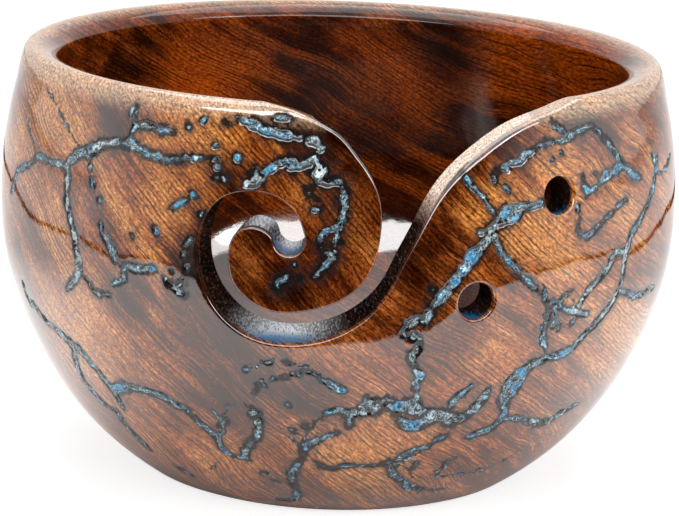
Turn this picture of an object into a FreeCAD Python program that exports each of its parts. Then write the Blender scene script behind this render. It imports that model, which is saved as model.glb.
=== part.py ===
import FreeCAD, Part
import math
import os

# Wooden yarn bowl: one turned hardwood body with a scroll slot and two guide holes in its front wall,
# and blue resin cast into the cracks of the wood.
# Millimetres, +Z up, origin at the middle of the foot, the slot faces -Y.
# Azimuth is in degrees from the front, positive towards +X.

# Outside of the bowl
bowl_height = 95.0
belt_radius = 76.0
belt_height = 62.0
foot_radius = 42.0
foot_bevel = 0.8
shoulder_radius = 73.2
shoulder_height = 85.5

# Wall, lip and floor
wall = 8.0
lip_crest_radius = 69.6
lip_outer_bulge = 2.2
lip_inner_drop = 4.5
lip_outer_pull = 0.6
lip_inner_pull = 0.65
floor_thickness = 7.5
floor_corner_radius = 14.0
foot_recess_depth = 1.5
foot_recess_radius = 31.0

# Guide holes through the wall, with the azimuth and the height of each mouth
guide_bore_radius = 4.0
upper_guide_azimuth = 37.8
upper_guide_height = 76.0
lower_guide_azimuth = 22.8
lower_guide_height = 55.3
bore_overrun = 6.0

# Scroll slot: the sides of the cut aim at one point inside the bowl
slot_width = 7.5
slot_end_radius = 3.4
slot_aim_back = 10.0
slot_aim_below_rim = 15.0
slot_outer_margin = 3.0
slot_inner_reach = 38.0

# Middle line of the slot, seen from the front: place to the right, drop below the rim, extra width
slot_route = [
    (11.0, 31.2, -1.6),
    (8.2, 37.0, -1.6),
    (3.5, 41.8, -0.9),
    (-3.2, 45.2, 0.0),
    (-10.0, 46.7, 0.1),
    (-16.6, 46.1, 0.4),
    (-21.7, 43.3, 0.2),
    (-24.9, 39.4, -0.1),
    (-26.6, 32.9, -0.1),
    (-26.0, 27.4, 0.0),
    (-23.4, 23.4, 0.2),
    (-19.0, 21.5, -0.2),
    (-13.9, 22.0, -0.1),
    (-10.9, 24.3, -0.4),
]
slot_end = (-9.8, 26.9)

# Right shoulder of the throat, from above the rim down to the slot: place to the right, drop
throat_shoulder = [
    (84.0, -13.0),
    (72.0, -7.6),
    (62.0, -3.7),
    (49.3, 0.1),
    (41.6, 3.0),
    (37.0, 5.4),
    (31.2, 9.0),
    (26.2, 12.9),
    (21.0, 19.0),
    (17.2, 25.9),
]

# Left side of the throat, round the head of the scroll, from the slot up to above the rim
scroll_head = [
    (9.1, 25.5),
    (9.2, 20.6),
    (8.2, 16.4),
    (6.2, 12.5),
    (3.5, 8.9),
    (0.0, 5.1),
    (-4.3, 2.6),
    (-9.3, 0.4),
    (-16.0, -1.4),
    (-26.0, -3.6),
    (-38.0, -8.0),
]
throat_top = 30.0

# Resin inlays: depth into the wood, and a factor on the widths below
inlay_depth = 1.2
inlay_width_factor = 1.0
inlay_end_factor = 0.7
smallest_inlay = 0.2
bead_corners = 8
bead_turn = 0.3
inlay_margin = 1.0
# The inlays are placed on a bowl of this height and follow the real one
inlay_map_height = 95.0
inlay_plane_distance = 90.0
inlay_reach = 45.0

# Veins, one node each: lines of (azimuth, height, width) that run into each other and are cast as one
veins = {
    "upper_left_vein": [
        [(-70, 65, 0.9), (-68.5, 67.5, 1.5), (-67, 70.5, 1.0), (-65, 72, 0.8), (-62.5, 73, 1.0),
         (-60.5, 74.5, 0.9), (-58.8, 76.2, 1.2), (-56, 76, 1.0), (-53, 76, 1.0), (-50, 76, 1.2),
         (-47.5, 79.2, 2.0), (-44, 80.5, 3.0), (-42.3, 82.3, 2.4), (-40, 82.9, 1.2), (-37.5, 83.5, 1.8),
         (-35.8, 83.6, 2.2), (-34, 83.1, 1.3), (-32.3, 82.2, 1.5), (-30.4, 82.1, 1.3), (-28.3, 81.8, 1.3),
         (-25, 82.6, 1.0), (-22, 83.2, 0.9), (-19.6, 83.1, 0.7)],
        [(-36.1, 83.6, 1.0), (-36, 86, 0.6), (-35.2, 87.4, 1.1), (-33.3, 88.2, 1.8), (-31.3, 87.8, 1.2),
         (-30.2, 87.5, 2.0), (-28, 87.3, 0.8)],
        [(-49.6, 76.6, 1.2), (-49, 74.5, 1.5), (-49, 72, 1.6), (-48.9, 69.5, 1.5), (-48.2, 67, 1.4),
         (-47.2, 64.5, 1.3), (-46.4, 62, 1.3), (-46.2, 59.8, 1.4), (-45.5, 57.4, 1.5), (-45.2, 55, 1.6),
         (-46.5, 52.5, 1.6), (-47.7, 51.1, 1.2), (-49.1, 49.8, 1.4)],
        [(-45, 54.6, 0.7), (-43.6, 53, 0.6), (-42.2, 51.3, 1.1), (-40.9, 50.7, 1.2), (-38.8, 51.2, 0.8)],
    ],
    "left_middle_vein": [
        [(-39.9, 64.2, 0.8), (-39.3, 63.4, 1.3), (-38.4, 62, 1.6), (-37.5, 60.5, 1.6), (-37.2, 59.2, 1.0),
         (-36, 58.6, 0.5), (-34.7, 58.5, 1.3), (-33.1, 58.3, 1.4), (-31.5, 58.6, 1.4), (-29.9, 58.8, 2.0)],
        [(-34.8, 58.3, 1.2), (-35.4, 57, 1.4), (-35.2, 55.8, 1.5), (-36.2, 54.7, 0.9), (-38, 53.6, 0.8)],
    ],
    "scroll_crown_vein": [
        [(-17.2, 91.8, 0.7), (-15.6, 91, 1.2), (-14.4, 90.8, 1.9), (-12.5, 89.8, 1.5), (-10.3, 89.4, 1.3),
         (-8.6, 88.9, 1.6), (-7.3, 89.1, 1.0), (-5.6, 88.6, 1.0), (-3.9, 88.3, 1.6), (-3.1, 87, 1.3),
         (-3.6, 85.5, 1.4), (-4.3, 84.3, 1.8), (-6, 83.4, 1.3), (-7.3, 83.2, 2.6), (-8.7, 84, 1.5),
         (-10.2, 82.7, 1.5), (-11.5, 81.5, 1.2), (-12.4, 80.4, 1.8), (-13.7, 79.2, 2.0), (-14.7, 78.4, 1.0)],
        [(-4, 84, 1.8), (-3.1, 82.4, 3.6), (-2.6, 80.6, 2.4), (-1.2, 80.3, 1.0), (0.2, 80.2, 1.2),
         (0.8, 78.6, 1.3), (1, 76, 1.3), (0.9, 73.2, 1.3), (0.2, 71.2, 1.2), (-1.1, 70.9, 1.0),
         (-2.2, 69.9, 0.8), (-2.9, 68, 0.7), (-2, 66.5, 0.8), (-0.7, 65.3, 2.0)],
        [(0.1, 71, 0.8), (0, 69, 0.6), (-0.2, 66.4, 0.7)],
        [(-12.9, 80.4, 1.2), (-13.4, 81.8, 1.4)],
        [(-0.7, 65.2, 1.6), (-1.7, 63, 0.8), (-2.9, 61.3, 1.5)],
    ],
    "shoulder_vein": [
        [(25.4, 80, 0.9), (25.4, 81, 1.3), (26, 82.1, 1.2), (27.1, 83, 0.9), (28.7, 83.7, 0.9),
         (30.2, 83.7, 1.2), (31.1, 84.9, 1.6), (33, 85.6, 1.1), (34.6, 86.7, 0.7), (35.7, 86.9, 1.3),
         (37.7, 87.1, 0.6), (39.2, 87, 1.0), (40.4, 87.6, 1.6), (42.3, 88.3, 1.0), (44.3, 88.8, 0.9),
         (46.5, 89, 1.0), (48, 87.7, 0.9), (49.8, 85.7, 1.4), (51.2, 84, 1.1), (52.6, 81.7, 1.1),
         (53.3, 80, 1.3), (55, 78.5, 1.4), (57, 76.7, 1.5), (59.2, 76.2, 1.2)],
        [(53, 79.7, 1.4), (52, 79.2, 1.8), (50.2, 78.9, 1.2), (48.7, 78.4, 2.0), (47, 77.2, 1.0),
         (45.3, 76.2, 0.9), (43.8, 75.9, 2.2), (43.2, 77.3, 1.4)],
        [(40.2, 88.2, 0.7), (38.6, 89.9, 0.7), (37.2, 91.6, 0.6)],
    ],
    "guide_vein": [
        [(35.2, 75.2, 1.2), (32.6, 74.5, 1.1), (30.6, 74.6, 1.6), (29.3, 73.8, 3.2), (27.6, 73.1, 4.2),
         (25.6, 71.2, 1.6), (24.4, 70, 2.2), (24.1, 68.4, 1.4), (23, 66.8, 1.2), (21.7, 65.2, 3.2),
         (20.7, 63.2, 1.7), (19.5, 61.4, 1.6), (18.6, 59.8, 2.0), (17.7, 58, 1.7), (16.8, 56.6, 2.0),
         (15.6, 55, 1.0), (14.9, 53.3, 1.6), (14.6, 51.4, 1.6), (13.4, 52.2, 1.2), (11.8, 51, 1.4),
         (11, 49, 1.4), (12.6, 48.4, 2.0), (13.8, 47.4, 1.1), (13.9, 45.7, 0.9), (12.7, 44.4, 2.2),
         (13.2, 42.2, 1.1), (13.8, 40.6, 0.7), (14.8, 38.8, 1.9)],
        [(20, 82, 0.7), (21.2, 79.8, 0.6), (23.2, 77.3, 0.8), (24.2, 75.6, 0.7), (25.2, 74, 0.7),
         (25.6, 71.6, 1.0)],
        [(24.3, 69.8, 1.2), (22.8, 69.9, 0.8)],
        [(16.4, 56.4, 1.2), (15.2, 58.4, 1.2)],
        [(25, 70.2, 1.0), (25.7, 67.8, 0.9), (26.6, 65.3, 1.1), (28, 63.4, 1.0), (29.4, 61.6, 1.1),
         (31.2, 59.4, 0.9), (33.2, 57.2, 0.7), (34.4, 55.8, 0.6)],
    ],
    "right_wall_vein": [
        [(66.8, 78.4, 1.3), (65.4, 75.4, 1.0), (63.8, 72.4, 1.0), (61.9, 70.3, 1.2), (60.5, 69, 0.9),
         (59, 67.3, 1.1), (56.8, 65.7, 1.3), (55.4, 64.3, 1.4), (54.8, 62.4, 1.7), (54.2, 60.4, 1.8),
         (54.1, 58.4, 1.2), (54, 56, 1.2), (53.8, 53.8, 1.2), (53, 51.9, 1.4), (51.9, 49.8, 1.5),
         (50.4, 48.2, 1.5), (49.1, 46.8, 1.6), (47, 45.1, 1.5), (45.5, 43.6, 1.6), (44.1, 41.9, 1.6),
         (42.2, 40.8, 1.7), (39.6, 40.6, 1.6), (37.5, 40.3, 1.5), (35.4, 39.6, 1.8), (33.6, 37.6, 3.4),
         (32.4, 35.4, 4.6), (32.2, 32.8, 4.2), (31.6, 31.2, 2.4), (32.8, 28.6, 1.3), (33, 26.6, 1.8),
         (31.9, 24.4, 1.4), (30.2, 23.7, 2.2), (28.6, 23.3, 2.2), (27.2, 22.7, 1.6)],
        [(54.4, 60.9, 1.6), (51.6, 61.6, 1.2), (50.3, 60.5, 1.3), (49.4, 58.5, 1.3), (48, 57.3, 1.4),
         (46.2, 55.9, 1.4), (44.8, 54.3, 1.2), (43.7, 52.7, 1.1), (43.2, 51.4, 0.8)],
        [(33.4, 26.5, 1.2), (36.4, 26, 0.9), (39.8, 24.8, 1.0), (43.4, 23.2, 2.2), (46.5, 22.7, 1.4),
         (48.5, 23.8, 1.5), (51.6, 25, 1.6), (54, 25.4, 0.9)],
        [(53.8, 52.6, 0.8), (56.3, 51.3, 1.0), (60, 49.8, 1.3), (65.5, 49.5, 1.0), (69, 49.2, 1.2)],
    ],
    "right_middle_vein": [
        [(35.1, 54.4, 1.1), (36.6, 53.4, 0.9), (38.2, 52.6, 0.8), (39.6, 51.7, 0.9), (41.2, 50.7, 1.1),
         (43, 50, 0.9), (45.6, 49.2, 1.0)],
        [(38, 52.8, 0.7), (39.6, 54.4, 0.7), (41.4, 55.4, 0.8)],
        [(36.5, 53.2, 0.8), (36.8, 51.4, 0.6), (36.6, 49.4, 0.7), (36.2, 47, 0.9), (36.6, 44.8, 0.7),
         (37.2, 43, 0.7)],
    ],
    "lower_left_vein": [
        [(-67.2, 45.6, 0.9), (-66.6, 43.2, 1.4), (-65.4, 41.6, 1.6), (-63.5, 42, 1.0), (-62.2, 40.9, 1.2),
         (-60.3, 39.5, 1.1), (-57.9, 38.7, 1.3), (-55.4, 38, 1.5), (-53.4, 36.8, 1.8), (-51.4, 36, 2.4),
         (-49.8, 35.6, 2.2), (-48.3, 34.7, 1.6), (-47.1, 32.8, 1.5), (-45.6, 31.1, 1.4), (-44.9, 29.2, 1.8),
         (-43.8, 27.8, 2.8), (-41.8, 28.5, 2.4), (-39.4, 29.8, 2.6), (-37.2, 30, 1.4), (-35, 30, 1.3),
         (-33.1, 29.8, 1.3), (-31, 29.4, 1.2), (-29, 27.9, 1.4), (-27.2, 27.5, 1.6), (-25.8, 25.8, 1.2),
         (-25, 24.4, 1.2), (-23.4, 22.9, 1.3), (-22.2, 21.6, 1.5), (-21.7, 19.5, 1.5), (-21.4, 17.6, 1.4),
         (-20.3, 16.6, 1.0), (-18.6, 16.2, 0.8), (-17, 16.3, 2.0), (-16.6, 18.4, 1.3), (-15.4, 20.2, 1.4),
         (-13.8, 22, 1.5), (-12.9, 24.6, 1.3), (-12.7, 26.8, 1.3), (-13.4, 28.8, 3.4)],
        [(-51.4, 35.4, 1.4), (-52, 33.4, 1.3), (-52.8, 31.2, 1.3), (-52.9, 28.6, 1.2), (-52.4, 26.2, 1.2),
         (-51, 24.6, 1.1), (-49.8, 22.6, 1.1), (-48, 21.8, 1.2), (-46, 21.8, 1.8), (-45.9, 19.6, 1.2),
         (-45.8, 17.8, 1.2), (-45.2, 15.9, 1.3), (-44.3, 13.9, 1.8), (-43.4, 12, 1.1)],
        [(-43.8, 27, 1.4), (-43.4, 25, 1.3), (-43.3, 23.5, 1.6)],
    ],
    "foot_vein": [
        [(-12.6, 3.4, 1.4), (-10.4, 3.5, 1.4), (-8, 4.2, 1.2), (-7.2, 6, 1.2), (-7.4, 8, 1.2),
         (-7.9, 10, 1.7), (-8, 12, 1.6), (-7.2, 14, 1.6), (-6.2, 16, 1.0), (-5.2, 17.3, 1.2),
         (-5, 19.4, 1.1), (-4.4, 21.2, 1.7), (-2.8, 22.3, 1.8), (-1.5, 23.3, 1.3)],
    ],
    "lower_crust_vein": [
        [(-0.6, 30.4, 1.6), (1.6, 30.9, 1.2), (3, 29.6, 3.0), (4.8, 30.4, 2.2), (7, 31.6, 4.6),
         (9.4, 33, 2.6), (11.6, 31.6, 3.6), (13.8, 32.4, 4.0), (15.6, 30, 3.0), (18.6, 29.2, 3.2),
         (20.6, 29, 2.6), (22.3, 27.6, 3.2), (24.4, 28.2, 1.8), (26.1, 30.4, 1.7), (27.1, 32.4, 2.2),
         (27.8, 34.8, 1.0)],
        [(3.4, 29, 2.0), (3.4, 26.8, 1.6)],
        [(6, 32.6, 1.6), (5.8, 34.5, 1.0)],
        [(12.4, 29, 1.4), (13.6, 27.2, 2.6), (15.8, 26.9, 3.2), (18.2, 28, 2.2)],
        [(20.8, 30, 1.0), (21.4, 32.2, 0.8), (22.5, 34.2, 1.7), (24.3, 36.1, 0.8)],
    ],
    "lower_right_vein": [
        [(-2, 16.4, 1.3), (-0.8, 15.3, 1.4), (1.2, 15.1, 0.9), (2.6, 15.8, 1.0), (4.6, 16.2, 1.1),
         (7, 16, 0.7), (10.2, 16.2, 0.9), (12.3, 17, 1.6), (13.8, 17.6, 1.2), (14.8, 19.3, 1.3),
         (16.8, 20.3, 0.9), (19.2, 20.8, 1.0), (20.2, 22.3, 0.8), (21.4, 23.2, 2.3)],
        [(12.4, 16.6, 1.2), (13.2, 14.6, 1.5), (14.2, 12.8, 1.5), (16, 11.6, 0.9), (17.4, 10, 0.9),
         (19.4, 8, 0.8), (23.4, 7.5, 0.7)],
    ],
    "back_upper_vein": [
        [(118, 84, 0.9), (122, 82.5, 1.3), (126, 83.2, 1.0), (130, 80.6, 1.6), (133, 77.4, 1.2),
         (137, 76.6, 1.4), (141, 74, 2.6), (144, 70.8, 1.6), (148, 69.6, 1.2), (153, 70.4, 0.9)],
        [(141, 73, 1.4), (140, 69.4, 1.2), (142, 65.6, 1.3), (141, 61.8, 1.0), (143.5, 58.6, 1.5)],
        [(130.4, 81, 1.0), (132, 84, 0.8), (135, 86.4, 1.2), (138.5, 87, 0.7)],
    ],
    "back_middle_vein": [
        [(196, 72.6, 0.8), (200, 70, 1.4), (203, 66.4, 1.2), (208, 64.8, 1.6), (212, 61, 1.4),
         (214, 56.8, 2.2), (219, 54.4, 1.4), (224, 54.8, 1.0), (229, 52, 1.3), (233, 48, 0.9)],
        [(214, 56, 1.6), (212, 52, 1.2), (213.5, 48, 1.5), (211, 44, 1.0)],
        [(203, 66.8, 1.0), (205, 70.6, 0.7), (209, 73, 1.2), (213, 73.6, 0.7)],
    ],
    "back_lower_vein": [
        [(96, 40, 0.9), (101, 37.4, 1.5), (106, 36.6, 1.2), (110, 33.4, 2.6), (115, 31.6, 1.6),
         (121, 32.4, 1.3), (126, 29.4, 1.8), (130, 25.6, 1.4), (137, 24.4, 1.2), (143, 21.6, 0.9)],
        [(110, 32.6, 1.6), (108.5, 28.4, 1.3), (110.5, 24.4, 1.5), (109, 20, 1.0)],
    ],
}

# Beads, one node for each group: every line is a small inlay by itself, and one point is a round bead
beads = {
    "left_wall_beads": [
        [(-43.8, 77.4, 1.2), (-43.7, 76.7, 1.0)],
        [(-43.2, 75, 1.1), (-42.8, 73.8, 1.9)],
        [(-40.9, 70.8, 1.2)],
        [(-40.3, 66, 0.9), (-40.1, 65, 0.9)],
        [(-33.7, 65, 0.9)],
        [(-29.6, 67.2, 0.9), (-29.1, 66.6, 0.8)],
    ],
    "upper_row_beads": [
        [(-25.3, 88.9, 1.5)],
        [(-22.6, 90.5, 1.1)],
        [(-19.2, 90.4, 0.8), (-18.2, 90.4, 0.8)],
        [(-20.3, 85.7, 0.8)],
        [(-16.4, 83.9, 1.2)],
        [(-19.6, 81.6, 1.2)],
        [(-19.8, 79.4, 0.9), (-18.1, 79.6, 0.9)],
        [(-26.7, 72.3, 0.9), (-25.4, 73.3, 1.2), (-24.2, 74.2, 0.9)],
        [(-23.1, 75.6, 1.4)],
        [(-35.5, 89.3, 0.6), (-35.7, 91, 0.6)],
    ],
    "scroll_crown_beads": [
        [(-4.8, 78.6, 1.0), (-4.4, 77.8, 1.2)],
        [(-3.5, 76.9, 0.8)],
        [(-3.9, 74.7, 0.8), (-3, 74.7, 0.9)],
        [(-10.6, 92.2, 1.2), (-8.6, 92.4, 1.4)],
    ],
    "scroll_heart_beads": [
        [(-6.3, 63.1, 0.7)],
        [(-5.2, 60.6, 0.7)],
        [(-9.1, 57.6, 0.9), (-8.6, 59.4, 1.2), (-7.6, 60.2, 1.4)],
    ],
    "scroll_border_beads": [
        [(-21.3, 71.6, 1.6)],
        [(-23.9, 65, 1.1), (-23.2, 66.2, 1.3)],
        [(-24.3, 62.8, 0.8)],
        [(-23.7, 60.2, 1.3)],
        [(-27.7, 57.6, 0.8), (-26.6, 56.2, 1.6), (-25.3, 55.3, 1.3), (-24.2, 54.4, 0.7)],
        [(-24.5, 57.5, 0.9), (-25, 56, 0.8)],
        [(-26.4, 59, 0.7)],
    ],
    "shoulder_beads": [
        [(27.1, 78.8, 0.9), (27.9, 78, 0.7)],
        [(36.5, 83.4, 0.8)],
        [(38.6, 84.6, 0.7)],
        [(42.9, 79.2, 0.7)],
        [(46.1, 79.2, 0.7)],
    ],
    "right_middle_beads": [
        [(38, 48.2, 1.7)],
        [(39.4, 46.9, 0.7)],
        [(42.2, 47.6, 0.7)],
    ],
    "guide_hole_crack": [
        [(41.8, 70.4, 0.6), (41.2, 68, 0.8), (42.4, 66.9, 0.8), (43.8, 66.7, 1.3), (45.6, 67.8, 0.9),
         (47.7, 69.2, 0.9), (48.8, 70, 0.9), (50.4, 70.9, 0.6)],
        [(51.2, 71.4, 1.0), (54.2, 72.6, 0.5)],
        [(41.6, 73.4, 0.7), (41.5, 72.3, 0.7)],
    ],
    "lower_left_beads": [
        [(-38.8, 8.9, 1.0), (-37, 7.9, 1.4), (-35.2, 6.8, 0.9)],
        [(-14.1, 12.2, 1.2)],
        [(-12, 10.2, 0.9), (-11, 9.8, 0.8)],
        [(-20.9, 24.2, 0.7), (-19.8, 25, 0.9), (-18.9, 26.3, 0.7)],
        [(-7.2, 31.7, 0.7)],
        [(-14.2, 39.2, 0.8)],
    ],
    "dotted_arc": [
        [(-13.1, 34, 0.8), (-12.5, 34.4, 0.9)],
        [(-12.1, 35.7, 0.9)],
        [(-11.1, 36.2, 0.8)],
        [(-9.9, 37.2, 0.6), (-9, 37.5, 0.6)],
        [(-8.2, 38, 0.6), (-7.3, 37.9, 0.6)],
        [(-6.4, 39, 0.7)],
        [(-5.4, 39.1, 0.8)],
        [(-4.4, 40, 1.0), (-2.8, 39.6, 0.8), (-1.4, 38, 0.8), (0.4, 36.8, 1.3), (2.1, 35.7, 1.7)],
        [(-10.7, 41.4, 0.6), (-9.9, 41.4, 0.6)],
        [(-7.9, 42, 0.5), (-6.7, 41.6, 0.5)],
        [(-4.2, 40.9, 0.6)],
    ],
    "lower_crust_beads": [
        [(14.1, 36.2, 0.9)],
        [(0.6, 24.7, 1.0), (1.6, 25.1, 1.2)],
        [(-6.9, 25.1, 0.8), (-6.2, 24.8, 0.7)],
        [(-4.3, 26.3, 0.6)],
    ],
    "lower_right_beads": [
        [(17.6, 14.6, 0.8), (18, 16.4, 0.8)],
        [(24.6, 16, 0.5), (26.4, 16.8, 0.5)],
        [(23.4, 13.4, 0.5), (24.8, 12.4, 0.5)],
    ],
    "back_beads": [
        [(160, 71, 1.3)],
        [(164, 74, 0.9)],
        [(157, 62, 1.5), (158.4, 60.8, 1.1)],
        [(170, 52, 1.2)],
        [(186, 44, 1.6), (187.4, 42.8, 1.2)],
        [(192, 40, 0.9)],
        [(240, 40, 1.1)],
        [(246, 62, 1.4), (247, 60.6, 1.0)],
        [(100, 66, 1.2)],
        [(104, 70.4, 0.9)],
    ],
}


def direction(azimuth, tilt=0.0):
    """Unit vector that points out of the bowl at an azimuth, tilted up by some degrees."""
    a = math.radians(azimuth)
    t = math.radians(tilt)
    return FreeCAD.Vector(math.sin(a) * math.cos(t), -math.cos(a) * math.cos(t), math.sin(t))


def belly_arc():
    """Centre radius and arc radius of the wall below the belt: upright at the belt, through the foot."""
    centre = (belt_radius ** 2 - foot_radius ** 2 - belt_height ** 2) / (2 * (belt_radius - foot_radius))
    return centre, belt_radius - centre


def neck_arc():
    """Centre radius and arc radius of the wall above the belt: upright at the belt, through the shoulder."""
    rise = shoulder_height - belt_height
    centre = (belt_radius ** 2 - shoulder_radius ** 2 - rise ** 2) / (2 * (belt_radius - shoulder_radius))
    return centre, belt_radius - centre


def arc_radius_at(arc, inset, height):
    """Radius of a wall arc, set in by some millimetres, at a height."""
    centre, radius = arc
    return centre + math.sqrt((radius - inset) ** 2 - (height - belt_height) ** 2)


def wall_radius(height):
    """Outside radius of the bowl at a height below the lip."""
    arc = belly_arc() if height < belt_height else neck_arc()
    return arc_radius_at(arc, 0.0, height)


def wall_tilt(height):
    """Degrees by which the outside faces up or down at a height."""
    arc = belly_arc() if height < belt_height else neck_arc()
    return math.degrees(math.asin((height - belt_height) / arc[1]))


def at(radius, height):
    """A point of the profile, drawn behind the axis so that the seam lies at the back."""
    return FreeCAD.Vector(0, radius, height)


def arc_edge(start, middle, end):
    return Part.Arc(start, middle, end).toShape()


def wall_arc_edge(arc, inset, low, high):
    """Edge of a wall arc, set in by some millimetres, from one height to another."""
    middle = (low + high) / 2
    places = [at(arc_radius_at(arc, inset, height), height) for height in (low, middle, high)]
    return arc_edge(*places)


def curve_edge(points):
    curve = Part.BezierCurve()
    curve.setPoles(points)
    return curve.toShape()


def slope_along(arc, inset, height):
    """Unit direction up a wall arc at a height, in the plane of the profile."""
    angle = math.asin((height - belt_height) / (arc[1] - inset))
    return at(-math.sin(angle), math.cos(angle))


def lip_edges():
    """The lip: from the shoulder over the crest to the inner wall."""
    neck = neck_arc()
    inner_top = bowl_height - lip_inner_drop
    shoulder = at(shoulder_radius, shoulder_height)
    crest = at(lip_crest_radius, bowl_height)
    inner = at(arc_radius_at(neck, wall, inner_top), inner_top)
    outer_pull = slope_along(neck, 0.0, shoulder_height) * (lip_outer_pull * (bowl_height - shoulder_height))
    inner_pull = slope_along(neck, wall, inner_top) * (lip_inner_pull * lip_inner_drop)
    crest_out = at(lip_crest_radius + lip_outer_bulge, bowl_height)
    crest_in = at((lip_crest_radius + inner.y) / 2, bowl_height)
    outside = curve_edge([shoulder, shoulder + outer_pull, crest_out, crest])
    inside = curve_edge([crest, crest_in, inner + inner_pull, inner])
    return [outside, inside]


def floor_edges():
    """Inner wall below the belt, the round corner and the flat floor, down to the axis."""
    belly = belly_arc()
    floor_top = foot_recess_depth + floor_thickness
    corner_height = floor_top + floor_corner_radius
    reach = belly[1] - wall - floor_corner_radius
    corner_place = belly[0] + math.sqrt(reach ** 2 - (belt_height - corner_height) ** 2)
    away = at(corner_place - belly[0], corner_height - belt_height)
    away.normalize()
    corner = at(corner_place, corner_height)
    wall_end = corner + away * floor_corner_radius
    halfway = away + at(0, -1)
    halfway.normalize()
    floor_end = at(corner_place, floor_top)
    wall_edge = wall_arc_edge(belly, wall, belt_height, wall_end.z)
    corner_edge = arc_edge(wall_end, corner + halfway * floor_corner_radius, floor_end)
    floor_edge = Part.LineSegment(floor_end, at(0, floor_top)).toShape()
    return [wall_edge, corner_edge, floor_edge], floor_top


def turned_body():
    """The bowl as it leaves the lathe."""
    belly = belly_arc()
    neck = neck_arc()
    inner_edges, floor_top = floor_edges()
    bevel_top = at(arc_radius_at(belly, 0.0, foot_bevel), foot_bevel)
    corners = [
        at(0, floor_top),
        at(0, foot_recess_depth),
        at(foot_recess_radius, foot_recess_depth),
        at(foot_recess_radius + foot_recess_depth, 0),
        at(foot_radius - foot_bevel, 0),
        bevel_top,
    ]
    edges = [Part.LineSegment(a, b).toShape() for a, b in zip(corners, corners[1:])]
    edges.append(wall_arc_edge(belly, 0.0, foot_bevel, belt_height))
    edges.append(wall_arc_edge(neck, 0.0, belt_height, shoulder_height))
    edges += lip_edges()
    edges.append(wall_arc_edge(neck, wall, bowl_height - lip_inner_drop, belt_height))
    edges += inner_edges
    profile = Part.Face(Part.Wire(edges))
    return profile.revolve(FreeCAD.Vector(), FreeCAD.Vector(0, 0, 1), 360)


def inlay_band():
    """The outermost layer of the wall, which holds the resin."""
    belly = belly_arc()
    neck = neck_arc()
    top = bowl_height + inlay_margin
    low = inlay_margin
    outer_top = at(belt_radius, top)
    inner_low = at(arc_radius_at(belly, inlay_depth, low), low)
    outer_low = at(arc_radius_at(belly, 0.0, low), low)
    edges = [
        Part.LineSegment(inner_low, outer_low).toShape(),
        wall_arc_edge(belly, 0.0, low, belt_height),
        Part.LineSegment(at(belt_radius, belt_height), outer_top).toShape(),
        Part.LineSegment(outer_top, at(arc_radius_at(neck, inlay_depth, top), top)).toShape(),
        wall_arc_edge(neck, inlay_depth, top, belt_height),
        wall_arc_edge(belly, inlay_depth, belt_height, low),
    ]
    face = Part.Face(Part.Wire(edges))
    ring = face.revolve(FreeCAD.Vector(), FreeCAD.Vector(0, 0, 1), 360)
    return ring.common(turned_body())


def slot_sides():
    """Points on the two sides of the slot, from its middle line and its width."""
    outer_side = []
    tongue_side = []
    route = slot_route + [slot_end + (0.0,)]
    for i, (place, drop, extra) in enumerate(slot_route):
        before = route[max(i - 1, 0)]
        after = route[i + 1]
        along = FreeCAD.Vector(after[0] - before[0], before[1] - after[1], 0)
        along.normalize()
        across = FreeCAD.Vector(-along.y, along.x, 0) * ((slot_width + extra) / 2)
        outer_side.append((place + across.x, drop - across.y))
        tongue_side.append((place - across.x, drop + across.y))
    return outer_side, tongue_side


def slot_cutter():
    """The scroll slot and its throat: one outline, drawn in towards the aim point."""
    aim = FreeCAD.Vector(0, slot_aim_back, bowl_height - slot_aim_below_rim)
    span = belt_radius + slot_aim_back

    def seen(point, depth):
        """A point of the outline, moved along its line to the aim point."""
        place = FreeCAD.Vector(point[0], -belt_radius, bowl_height - point[1])
        return aim + (place - aim) * (depth / span)

    outer_side, tongue_side = slot_sides()
    before_end = slot_route[-1]
    along = FreeCAD.Vector(slot_end[0] - before_end[0], before_end[1] - slot_end[1], 0)
    along.normalize()
    tip = (slot_end[0] + along.x * slot_end_radius, slot_end[1] - along.y * slot_end_radius)
    outer_end = (slot_end[0] - along.y * slot_end_radius, slot_end[1] - along.x * slot_end_radius)
    tongue_end = (slot_end[0] + along.y * slot_end_radius, slot_end[1] + along.x * slot_end_radius)
    right_edge = throat_shoulder + outer_side + [outer_end]
    left_edge = [tongue_end] + tongue_side[::-1] + scroll_head
    wires = []
    for depth in (span + slot_outer_margin, slot_aim_back + slot_inner_reach):
        outer = Part.BSplineCurve()
        outer.interpolate([seen(p, depth) for p in right_edge])
        tongue = Part.BSplineCurve()
        tongue.interpolate([seen(p, depth) for p in left_edge])
        end = Part.Arc(seen(outer_end, depth), seen(tip, depth), seen(tongue_end, depth))
        high = [(left_edge[-1][0], -throat_top), (right_edge[0][0], -throat_top)]
        corners = [seen(p, depth) for p in left_edge[-1:] + high + right_edge[:1]]
        lines = [Part.LineSegment(a, b) for a, b in zip(corners, corners[1:])]
        pieces = [outer, end, tongue] + lines
        wires.append(Part.Wire([piece.toShape() for piece in pieces]))
    return Part.makeLoft(wires, True, True)


def guide_bore(azimuth, height):
    """A guide hole, drilled square to the wall."""
    out = direction(azimuth, wall_tilt(height))
    mouth = direction(azimuth) * wall_radius(height) + FreeCAD.Vector(0, 0, height)
    length = wall + 2 * bore_overrun
    start = mouth + out * bore_overrun
    return Part.makeCylinder(guide_bore_radius, length, start, out * -1)


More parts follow.
